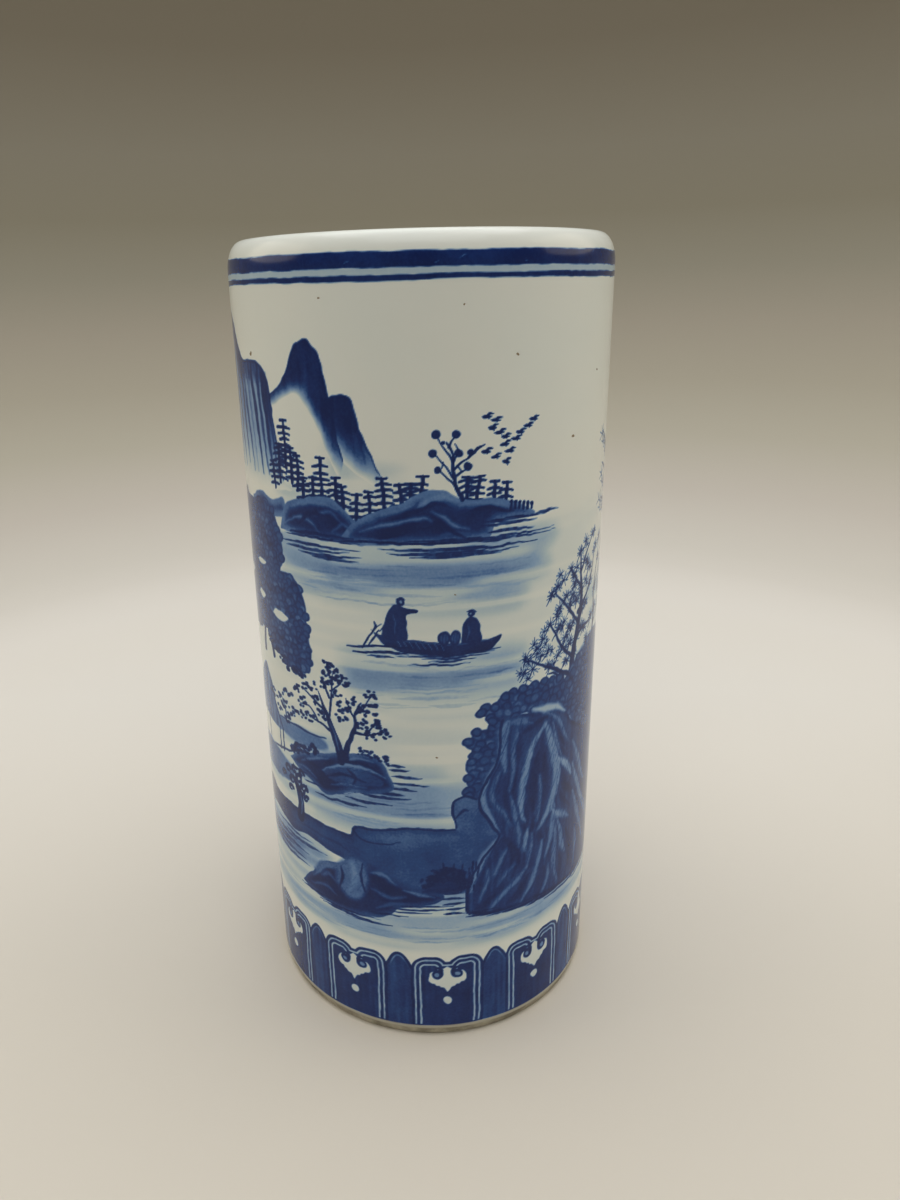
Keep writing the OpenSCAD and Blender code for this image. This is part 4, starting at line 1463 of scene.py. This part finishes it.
@dataclass(frozen=True)
class CobaltUnderClearGlaze(Finish):
    """White porcelain painted with cobalt oxide and dipped in clear glaze.

    The eye sees a cool white, blue that runs from a watery grey to near black with the load
    of pigment, a fine grain where the pigment broke up in the fire, and a soft wet gloss
    over both.
    """

    name: str = "cobalt_painted_glazed_porcelain"
    roughness: float = 0.15
    ior: float = 1.33
    relief_mm: Point = (3.0, 0.016)  # faint orange peel of a dipped glaze
    white: str = "EBEDE7"
    cool_white: str = "E3EBE8"
    edge: str = "ABA594"
    ramp: tuple[tuple[float, str], ...] = (
        (0.00, "FFFFFF"), (0.10, "D3E3F0"), (0.25, "A0BEE8"), (0.45, "6086C6"),
        (0.62, "2C539A"), (0.80, "203A80"), (1.00, "172A67"))
    grain_mm: float = 0.9
    cloud_mm: float = 45.0

    def colour(self, tree: Tree, place: Socket) -> Socket:
        """White times the blue of the load, whose grain is 0.9 mm and clouds 6 mm.  The
        lowest 5 mm, where the glaze was wiped thin, show the paste."""
        held = add_node(tree, "Attribute", {"attribute_name": "cobalt"}, {})
        grain = add_node(tree, "TexNoise",
                         {"Scale": 1 / (self.grain_mm * MM), "Detail": 2.0}, {"Vector": place})
        cloud = add_node(tree, "TexNoise", {"Scale": 1 / (6 * MM), "Detail": 3.0}, {"Vector": place})
        both = add_node(tree, "Math", {"operation": "ADD"},
                        {0: grain.outputs["Fac"], 1: cloud.outputs["Fac"]})
        part = add_node(tree, "MapRange", {"From Min": 0.6, "From Max": 1.4, "To Min": 0.88, "To Max": 1.12},
                        {"Value": both.outputs[0]})
        load = add_node(tree, "Math", {"operation": "MULTIPLY"},
                        {0: held.outputs["Fac"], 1: part.outputs["Result"]})
        blue = colour_ramp(tree, load.outputs[0], self.ramp)
        drift = add_node(tree, "TexNoise",
                         {"Scale": 1 / (self.cloud_mm * MM), "Detail": 2.0}, {"Vector": place})
        body = add_node(tree, "Mix", {"data_type": "RGBA", 6: linear(self.white),
                                      7: linear(self.cool_white)}, {0: drift.outputs["Fac"]})
        inked = add_node(tree, "Mix", {"data_type": "RGBA", "blend_type": "MULTIPLY", 0: 1.0},
                         {6: body.outputs[2], 7: blue})
        parts = add_node(tree, "SeparateXYZ", {}, {"Vector": place})
        thin = add_node(tree, "MapRange", {"From Min": 4.9 * MM, "From Max": 5.3 * MM, "To Min": 0.85,
                                           "To Max": 0.0}, {"Value": parts.outputs["Z"]})
        return add_node(tree, "Mix", {"data_type": "RGBA", 7: linear(self.edge)},
                        {0: thin.outputs["Result"], 6: inked.outputs[2]}).outputs[2]


@dataclass(frozen=True)
class ClearGlaze(Finish):
    """Porcelain under clear glaze alone: cool white, glossy, with a few iron specks."""

    name: str = "clear_glazed_porcelain"
    roughness: float = 0.17
    relief_mm: Point = (4.0, 0.02)  # faint orange peel of a poured glaze
    white: str = "EBEBE2"
    warm_white: str = "E2E0D6"
    speck: str = "8A7A66"
    speck_mm: float = 7.0

    def colour(self, tree: Tree, place: Socket) -> Socket:
        """Two whites in 30 mm clouds, and iron specks 7 mm apart."""
        cloud = add_node(tree, "TexNoise", {"Scale": 1 / (30 * MM), "Detail": 3.0}, {"Vector": place})
        body = add_node(tree, "Mix", {"data_type": "RGBA", 6: linear(self.white),
                                      7: linear(self.warm_white)}, {0: cloud.outputs["Fac"]})
        cells = add_node(tree, "TexVoronoi", {"Scale": 1 / (self.speck_mm * MM)}, {"Vector": place})
        dot = add_node(tree, "MapRange", {"From Min": 0.030, "From Max": 0.055, "To Min": 0.75,
                                          "To Max": 0.0}, {"Value": cells.outputs["Distance"]})
        return add_node(tree, "Mix", {"data_type": "RGBA", 7: linear(self.speck)},
                        {0: dot.outputs["Result"], 6: body.outputs[2]}).outputs[2]


@dataclass(frozen=True)
class BarePaste(Finish):
    """Fired porcelain paste with no glaze: matt, greyish buff, with the grit of the kiln
    shelf rubbed into it."""

    name: str = "unglazed_fired_porcelain_paste"
    roughness: float = 0.8
    relief_mm: Point = (1.2, 0.10)  # sandy grain
    relief_detail: float = 4.0
    clean: str = "B9B3A2"
    soiled: str = "7F7A6B"

    def colour(self, tree: Tree, place: Socket) -> Socket:
        """Clean and soiled paste in uneven patches with a 1.2 mm grain."""
        patch = add_node(tree, "TexNoise", {"Scale": 1 / (9 * MM), "Detail": 6.0, "Roughness": 0.65},
                         {"Vector": place})
        even = add_node(tree, "MapRange", {"From Min": 0.35, "From Max": 0.65},
                        {"Value": patch.outputs["Fac"]})
        return add_node(tree, "Mix", {"data_type": "RGBA", 6: linear(self.clean), 7: linear(self.soiled)},
                        {0: even.outputs["Result"]}).outputs[2]


@dataclass(frozen=True)
class IronSpeck(Finish):
    """A grain of iron that burst under the glaze: soft brown, glossy like the glaze."""

    name: str = "iron_speck_under_glaze"
    relief_mm: Point = (0.5, 0.01)  # slightly pitted skin
    rust: str = "A2937A"
    dark: str = "6A5C4B"

    def colour(self, tree: Tree, place: Socket) -> Socket:
        """Two browns in a grain of 0.4 mm."""
        grain = add_node(tree, "TexNoise", {"Scale": 1 / (0.4 * MM)}, {"Vector": place})
        return add_node(tree, "Mix", {"data_type": "RGBA", 6: linear(self.rust), 7: linear(self.dark)},
                        {0: grain.outputs["Fac"]}).outputs[2]


@dataclass(frozen=True)
class MattPaper(Finish):
    """Matt paper cove of the studio with painted light and shade: a pale floor, paler still at the back as
    painted light, and painted shade that darkens it up the wall.
    """

    name: str = "matt_paper_cove_painted_light_and_shade"
    roughness: float = 0.9
    relief_mm: Point = (1.5, 0.02)  # paper tooth
    top_m: float = 0.6
    # far is painted light: a paler tone for the back of the floor, where more light fell.
    far: str = "DBD9D4"
    painted_light_y: Point = (-0.05, 0.22)  # metres over which the floor turns to far
    floor_top: float = 0.02
    # Painted shade: the paper's tones darken with height up the cove wall.
    painted_shade_tones: tuple[tuple[float, str], ...] = (
        (0.000, "D6D1C7"), (0.015, "D7D4CF"), (0.047, "C8C5BE"), (0.098, "BAB5AD"),
        (0.170, "AAA699"), (0.258, "9D988A"), (0.363, "938D80"), (0.478, "837F71"),
        (0.602, "787363"), (0.750, "777264"), (1.000, "6B6455"))

    def colour(self, tree: Tree, place: Socket) -> Socket:
        """Painted shade: a ramp of tones that darkens with height, up to top_m, mixed towards far, a painted
        pool of light, at the floor's back.
        """
        parts = add_node(tree, "SeparateXYZ", {}, {"Vector": place})
        # Painted shade: the ramp of tones darkens the paper with height.
        up = add_node(tree, "Math", {"operation": "DIVIDE", 1: self.top_m}, {0: parts.outputs["Z"]})
        # Painted light: the floor turns towards the paler far tone at its back.
        back = add_node(tree, "MapRange", {"From Min": self.painted_light_y[0], "From Max": self.painted_light_y[1]},
                        {"Value": parts.outputs["Y"]})
        low = add_node(tree, "MapRange", {"From Max": self.floor_top, "To Min": 1.0, "To Max": 0.0},
                       {"Value": parts.outputs["Z"]})
        both = add_node(tree, "Math", {"operation": "MULTIPLY"}, {0: back.outputs[0], 1: low.outputs[0]})
        return add_node(tree, "Mix", {"data_type": "RGBA", 7: linear(self.far)},
                        {0: both.outputs[0], 6: colour_ramp(tree, up.outputs[0], self.painted_shade_tones)}).outputs[2]


# ---------------- the pot's pieces


@dataclass
class PotBody:
    """The glazed vessel without its crisp painting."""

    pot: PotShape
    columns: int = 264
    rows: int = 256
    under_mm: float = 0.4

    def wall(self, canvas: Canvas) -> Piece:
        """The glazed outside, a closed coat whose surface holds the washes.

        Args:
            canvas: Canvas with the finished washes.

        Returns:
            The piece.
        """
        pot = self.pot
        up = np.sin(np.linspace(0, np.pi / 2, 14))[1:]
        z = np.concatenate([
            [pot.glaze_stop, pot.glaze_stop + 0.25], np.linspace(pot.glaze_stop + 0.7, pot.lip_z, self.rows),
            pot.lip_z + pot.lip_h * up])
        outside = np.stack([pot.plain_radius(z), z], -1)
        outside[0, 0] -= 0.25
        back = z[::-8]
        inside = np.stack([pot.plain_radius(back) - self.under_mm,
                           np.minimum(back, pot.height - self.under_mm)], -1)
        profile = np.vstack([outside, inside])
        obj = lathe("glazed_wall", profile, self.columns, sway=pot.sway)
        co = np.empty(len(obj.data.vertices) * 3, np.float32)
        obj.data.vertices.foreach_get("co", co)
        x, y, z = co.reshape(-1, 3).T / MM
        turn = np.arctan2(x, -y)
        set_load(obj, canvas.wash_at(turn * pot.outer_r, z - pot.paint_z))
        return obj

    def lining(self) -> Piece:
        """The glazed inside: over the lip, down the wall with faint throwing rings, round a
        small fillet and across the floor."""
        pot = self.pot
        lip_out = pot.crown_r - pot.inner_r
        turn = np.linspace(0, np.pi / 2, 12)
        lip = np.stack([pot.crown_r - lip_out * np.sin(turn), pot.lip_z + pot.lip_h * np.cos(turn)], -1)
        z = np.linspace(pot.lip_z - 1, pot.floor_z + 6.4, 150)
        ring = 0.10 * np.sin(z / 3.1 + 0.8 * np.sin(z / 17)) * smooth(z, 20, 40)
        wall = np.stack([pot.inner_r - 0.12 + ring * smooth(-z, -266, -255), z], -1)
        bend = np.linspace(0.15, np.pi / 2, 9)
        low = pot.floor_z + self.under_mm
        fillet = np.stack([pot.inner_r - 6.12 + 6 * np.cos(bend), low + 6 - 6 * np.sin(bend)], -1)
        r = np.linspace(pot.inner_r - 8, 0, 26)
        floor = np.stack([r, low + 0.12 * (1 + np.cos(r / 3.4)) * (r < 48)], -1)
        below = np.array([[0.0, low - 0.3], [pot.inner_r - 7, low - 0.3],
                          [pot.inner_r + 0.2, low + 6], [pot.inner_r + 0.25, pot.lip_z]])
        under = np.stack([pot.crown_r - (lip_out - 0.3) * np.sin(turn[::-1]),
                          pot.lip_z + (pot.lip_h - 0.3) * np.cos(turn[::-1])], -1)
        return lathe("glazed_lining", np.vstack([lip, wall, fillet, floor, below, under]), 200,
                     sway=lambda t, a, b: pot.oval(t, b))

    def foot(self) -> Piece:
        """The bare foot ring: bevelled on both edges and a little worn."""
        pot = self.pot
        r, hollow = pot.outer_r, pot.foot_in_r
        bend = np.linspace(0, np.pi / 2, 6)
        outer = np.stack([r - 2.0 + 1.0 * np.sin(bend), 1.0 - 1.0 * np.cos(bend)], -1)
        rise = np.linspace(1.4, pot.glaze_stop, 6)
        bevel = np.stack([r - 1.0 + 0.8 * (rise - 1) / (pot.glaze_stop - 1), rise], -1)
        inner = np.stack([hollow + 1.4 - 1.0 * np.sin(bend), 1.0 - 1.0 * np.cos(bend)], -1)
        middle = np.linspace(hollow + 1.6, r - 2.2, 9)
        sole = np.stack([middle, 0.0 * middle], -1)
        top = np.array([[r - 0.5, pot.foot_h - 0.2], [hollow + 0.6, pot.foot_h - 0.2]])
        return lathe("bare_foot_ring", np.vstack([sole, outer, bevel, top, inner[::-1]]), 220, sway=lambda t,
                     a, b: pot.oval(t, b) + 0.05 * np.sin(23 * t + b) * np.sin(7 * t + 1))

    def base(self) -> Piece:
        """The thin glaze in the hollow of the foot, with a shallow turned spiral."""
        pot = self.pot
        top = pot.foot_h - self.under_mm
        hollow = pot.foot_in_r
        r = np.linspace(0, hollow - 2.4, 60)
        under = np.stack([r, top + 0.05 * np.sin(r / 1.3) - 0.05], -1)
        bend = np.linspace(0.2, np.pi / 2, 7)
        fillet = np.stack([hollow - 2.2 + 2.2 * np.sin(bend), top - 2.2 + 2.2 * np.cos(bend)], -1)
        side = np.array([[hollow, 1.2], [hollow + 0.3, 1.2], [hollow + 0.3, pot.foot_h - 0.1],
                         [0, pot.foot_h - 0.1]])
        return lathe("glazed_base", np.vstack([under, fillet, side]), 200)

    def specks(self, spots: Sequence[tuple[float, float, float]]) -> Piece:
        """Iron specks: flat lenses on the wall, lift = 0.07 (1 - q^2) at q radii out.

        Args:
            spots: Place (s, h) and radius of each.

        Returns:
            The piece.
        """
        pot = self.pot
        spot = np.array(spots)[:, None, None]
        q = np.array([0.0, 0.45, 0.8, 1.0])[None, :, None]
        t = np.linspace(0, 2 * np.pi, 10, endpoint=False)[None, None]
        uneven = 1 + 0.22 * np.sin(2 * t + spot[..., 0]) + 0.1 * np.sin(3 * t + spot[..., 1])
        s = spot[..., 0] + spot[..., 2] * q * np.cos(t) * uneven
        h = spot[..., 1] + spot[..., 2] * q * np.sin(t) * uneven * 0.8
        lift = 0.085 * (1 - q ** 2) - 0.015 + 0 * s
        over = pot.place(s / pot.outer_r, h + pot.paint_z, lift)
        under = pot.place(s / pot.outer_r, h + pot.paint_z, -0.03 - 0.02 * (1 - q) + 0 * s)
        verts = np.stack([over, under], 1).reshape(-1, 3)
        number = np.arange(len(verts)).reshape(len(spots), 2, 4, 10)
        number[:, :, 0] = number[:, :, 0, :1]
        number[:, 1, 3] = number[:, 0, 3]
        nxt = np.roll(number, -1, -1)
        quads = np.stack([number[:, :, 1:-1], number[:, :, 2:], nxt[:, :, 2:], nxt[:, :, 1:-1]], -1)
        tris = np.stack([number[:, :, 0], number[:, :, 1], nxt[:, :, 1]], -1)
        quads[:, 1], tris[:, 1] = quads[:, 1, ..., ::-1], tris[:, 1, ..., ::-1]
        return mesh_object("iron_specks", verts, quads, tris)


@dataclass
class PaintFilms:
    """Turns each crisp motif of a canvas into a thin closed film of glazed pigment.

    The front sheet stands 0.02 mm proud of the wall and dips under its surface at its
    margin.  The back sheet lies under the surface and shares the margin.  Where one film
    meets another, an edge joins the two sheets.  The corner normals are the wall's own, so
    that the gloss runs on unbroken.
    """

    canvas: Canvas
    lift_mm: float = 0.02
    dip_mm: float = -0.012
    back_mm: float = -0.035
    least: float = 0.004

    def __post_init__(self) -> None:
        """Finds the painted cells and the motif that each belongs to."""
        c = self.canvas
        touched = (np.abs(c.ink - c.wash) > self.least) & (c.owner >= 0)
        touched[0] = touched[-1] = False
        mark = np.where(touched, c.owner, -1)
        corners = [mark[:-1], mark[1:], np.roll(mark, -1, 1)[:-1], np.roll(mark, -1, 1)[1:]]
        self.cells = np.maximum.reduce(corners)
        turn = c.s[None] / c.pot.outer_r
        z = c.h[:, None] + c.pot.paint_z
        self.inner = self.full(self.cells >= 0)
        sheets = [np.where(self.inner, self.lift_mm, self.dip_mm), np.full(self.inner.shape, self.back_mm)]
        self.verts = np.vstack([c.pot.place(turn, z, lift).reshape(-1, 3) for lift in sheets])
        front = c.pot.facing(turn + 0 * z, z + 0 * turn).astype(np.float32).reshape(-1, 3)
        self.facing = np.vstack([front, -front])

    @staticmethod
    def full(cells: Array) -> Array:
        """Grid points whose four cells all belong to a set."""
        beside = cells & np.roll(cells, 1, 1)
        inner = np.zeros((len(cells) + 1, cells.shape[1]), bool)
        inner[1:-1] = beside[1:] & beside[:-1]
        return inner

    def film(self, number: int, name: str) -> Optional[Piece]:
        """Builds the film of one motif.

        Args:
            number: The motif's number on the canvas.
            name: Piece name.

        Returns:
            The film, or nothing where the motif is fully covered by others.
        """
        own = self.cells == number
        if not own.any():
            return None
        c = self.canvas
        width = len(c.s)
        i, j = np.nonzero(own)
        k = (j + 1) % width
        quads = np.stack([i * width + j, i * width + k, (i + 1) * width + k, (i + 1) * width + j], -1)
        inner, size = self.inner.ravel(), self.inner.size
        behind = np.where(inner[quads], quads + size, quads)[:, ::-1]
        alone = [~np.roll(own, 1, 0)[i, j], ~np.roll(own, -1, 1)[i, j],
                 ~np.roll(own, -1, 0)[i, j], ~np.roll(own, 1, 1)[i, j]]
        a, b = (np.concatenate([quads[cut, (n + step) % 4] for n, cut in enumerate(alone)])
                for step in (0, 1))
        both, first, last = inner[a] & inner[b], inner[a] & ~inner[b], ~inner[a] & inner[b]
        edge = np.stack([b, a, a + size, b + size], -1)[both]
        tips = np.vstack([np.stack([b, a, a + size], -1)[first], np.stack([b, a, b + size], -1)[last]])
        quads = np.vstack([quads, behind, edge])
        obj = mesh_object(name, self.verts, quads, tips, self.facing)
        set_load(obj, c.ink.ravel()[np.unique(np.concatenate([quads.ravel(), tips.ravel()])) % size])
        return obj


# ---------------- studio


@dataclass
class Studio:
    """A paper cove all round, soft lights above, in front and at both sides, and the camera."""

    flat_r: float = 0.30
    wall_r: float = 1.15
    wall_top: float = 2.2
    eye: tuple[float, float, float] = (0.0, -0.3111, 0.2668)
    yaw: float = -1.36
    pitch: float = 19.61
    roll: float = -1.45
    lens_mm: float = 25.5
    shift: tuple[float, float] = (0.0358, -0.0083)

    def cove(self) -> Piece:
        """The paper: flat, then a quarter ellipse up into the wall."""
        bend = np.linspace(np.pi / 2, 0, 40)
        rise = 0.75
        curved = np.stack([self.flat_r + (self.wall_r - self.flat_r) * np.cos(bend),
                           rise - rise * np.sin(bend)], -1)
        flat = np.stack([np.linspace(0, self.flat_r, 8)[:-1], np.zeros(7)], -1)
        wall = np.array([[self.wall_r, z] for z in np.linspace(rise + 0.1, self.wall_top, 8)])
        profile = np.vstack([flat, curved, wall])[::-1] / MM
        obj = lathe("paper_cove", profile, 128, closed=False)
        MattPaper().dress(obj)
        return obj

    def soft_light(self, name: str, size: tuple[float, float], watts: float, place: Point3,
                   aim: Point3, tint: str = "FFFFFF") -> None:
        """Adds a soft rectangular light at a place, turned to face the point aim."""
        lamp = bpy.data.lights.new(name, "AREA")
        lamp.shape, lamp.size, lamp.size_y = "RECTANGLE", *size
        lamp.energy, lamp.color = watts, linear(tint)[:3]
        obj = bpy.data.objects.new(name, lamp)
        obj.location = place
        obj.rotation_euler = (Vector(aim) - Vector(place)).to_track_quat("-Z", "Y").to_euler()
        bpy.context.scene.collection.objects.link(obj)

    def light(self) -> None:
        """A broad light overhead, fills from the front and both sides, and the room."""
        self.soft_light("overhead_softbox", (2.0, 1.6), 20.5, (0.1, 0.4, 1.8), (0.1, 0.4, 0))
        self.soft_light("front_softbox", (1.4, 0.7), 5.9, (0.1, -0.75, 1.5), (0.1, 0, 0.2))
        self.soft_light("left_softbox", (0.8, 0.8), 3.5, (-1.0, 0.1, 0.6), (0, 0, 0.15), "FFF2DC")
        self.soft_light("right_softbox", (0.8, 0.8), 3.1, (1.0, 0.1, 0.6), (0, 0, 0.15), "FFF2DC")
        world = bpy.data.worlds.new("room")
        world.use_nodes = True
        world.node_tree.nodes["Background"].inputs["Color"].default_value = linear("F6F6F4")
        world.node_tree.nodes["Background"].inputs["Strength"].default_value = 0.75
        bpy.context.scene.world = world
        bpy.context.scene.view_settings.view_transform = "Standard"

    def camera(self) -> None:
        """The camera, turned by yaw, tipped down by pitch, then rolled."""
        yaw, pitch, roll = (math.radians(a) for a in (self.yaw, self.pitch, self.roll))
        ahead = np.array([math.sin(yaw) * math.cos(pitch), math.cos(yaw) * math.cos(pitch),
                          -math.sin(pitch)])
        side = np.array([math.cos(yaw), -math.sin(yaw), 0.0])
        above = np.cross(side, ahead)
        right = math.cos(roll) * side + math.sin(roll) * above
        top = math.cos(roll) * above - math.sin(roll) * side
        data = bpy.data.cameras.new("camera")
        data.lens, data.sensor_width, data.sensor_fit = self.lens_mm, 36.0, "AUTO"
        data.shift_x, data.shift_y = self.shift
        data.clip_start = 0.01
        obj = bpy.data.objects.new("camera", data)
        pose = np.eye(4)
        pose[:3, 0], pose[:3, 1], pose[:3, 2], pose[:3, 3] = right, top, -ahead, self.eye
        obj.matrix_world = Matrix(pose.tolist())
        bpy.context.scene.collection.objects.link(obj)
        bpy.context.scene.camera = obj


# ---------------- assembly


def painted_canvas(pot: PotShape) -> Canvas:
    """Paints the whole wall: the river scene in front, and its like round the back."""
    canvas = Canvas(pot)
    around = {"side": Side.BACK, "mirror": True}
    far = pot.girth / 2
    for water in (River(), River(at=(far, 0.0), seed=21, **around)):
        water.paint(canvas)
    RimRings().bleed(canvas)
    canvas.begin_ink()
    scenes: tuple[Scenery, ...] = (
        FarPeaks(at=(far + 6, -2.0), seed=22, **around), FarPeaks(),
        Cliff(at=(far - 1, 1.0), seed=23, **around), Cliff(),
        PineShore(at=(far + 3, -1.0), seed=24, **around), PineShore(),
        Ripples(at=(far + 2, 0.0), seed=25, **around), Ripples(),
        Sapling(at=(far - 4, -1.0), seed=26, **around), Sapling(),
        Flock(at=(far - 12, 5.0), seed=27, **around), Flock(),
        RiverBoat(at=(far + 8, -5.0), seed=28, **around), RiverBoat(),
        Grove(at=(far, -2.0), seed=29, **around), Grove(seed=9),
        NearBank(at=(far, 0.0), seed=30, **around), NearBank(),
        Crag(at=(far, 1.0), seed=31, **around), Crag(),
        Thicket(at=(far, 0.0), seed=32, **around), Thicket(),
        Island(at=(far + 2, 2.0), seed=33, **around), Island(),
        OldTree(at=(far + 5, 0.0), seed=34, **around), OldTree(),
        Boulder(at=(far - 3, -1.0), seed=35, **around), Boulder())
    for scene in scenes:
        scene.paint(canvas)
    LappetBorder().paint(canvas)
    RimRings().paint(canvas)
    return canvas


def attach(obj: Piece, finish: Finish, slot: str, *nodes: str) -> None:
    """Dresses a piece, hangs it on the body and reports it.

    Args:
        obj: The piece.
        finish: Its finish.
        slot: Name of a material slot; not used.
        nodes: CAD nodes that it stands for.
    """
    finish.dress(obj)
    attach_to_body(obj, BODY)
    if nodes:
        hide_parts(*nodes)
    LOG.info("%s: %d faces", obj.name, len(obj.data.polygons))


def main() -> None:
    """Builds the pot, its painting and the studio."""
    logging.basicConfig(level=logging.INFO, format="%(message)s")
    pot = PotShape.from_frame()
    canvas = painted_canvas(pot)
    body = PotBody(pot)
    painted, clear, paste = CobaltUnderClearGlaze(), ClearGlaze(), BarePaste()
    attach(body.wall(canvas), painted, "outer_glaze", "outer_glaze")
    attach(body.lining(), clear, "inner_glaze", "inner_glaze")
    attach(body.base(), clear, "inner_glaze", "underside_glaze")
    attach(body.foot(), paste, "bare_foot", "foot_ring")
    attach(body.specks(IRON_SPOTS), IronSpeck(), "outer_glaze")
    films = PaintFilms(canvas)
    for number, name in enumerate(canvas.names):
        film = films.film(number, name)
        if film is None:
            continue
        stands_for = ((name.removeprefix("painted_"),) if name.startswith("painted_rim")
                      else ("lappet_border",) if name.startswith("border") else ())
        attach(film, painted, "cobalt_under_glaze", *stands_for)
    for node in ("wall_tube", "floor_slab"):
        BarePaste(name="porcelain_paste_under_glaze", clean="DCD8CC", soiled="CFCABC").dress(
            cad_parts[node])
    studio = Studio()
    studio.cove()
    studio.light()
    studio.camera()


if __name__ == "__main__":
    main()
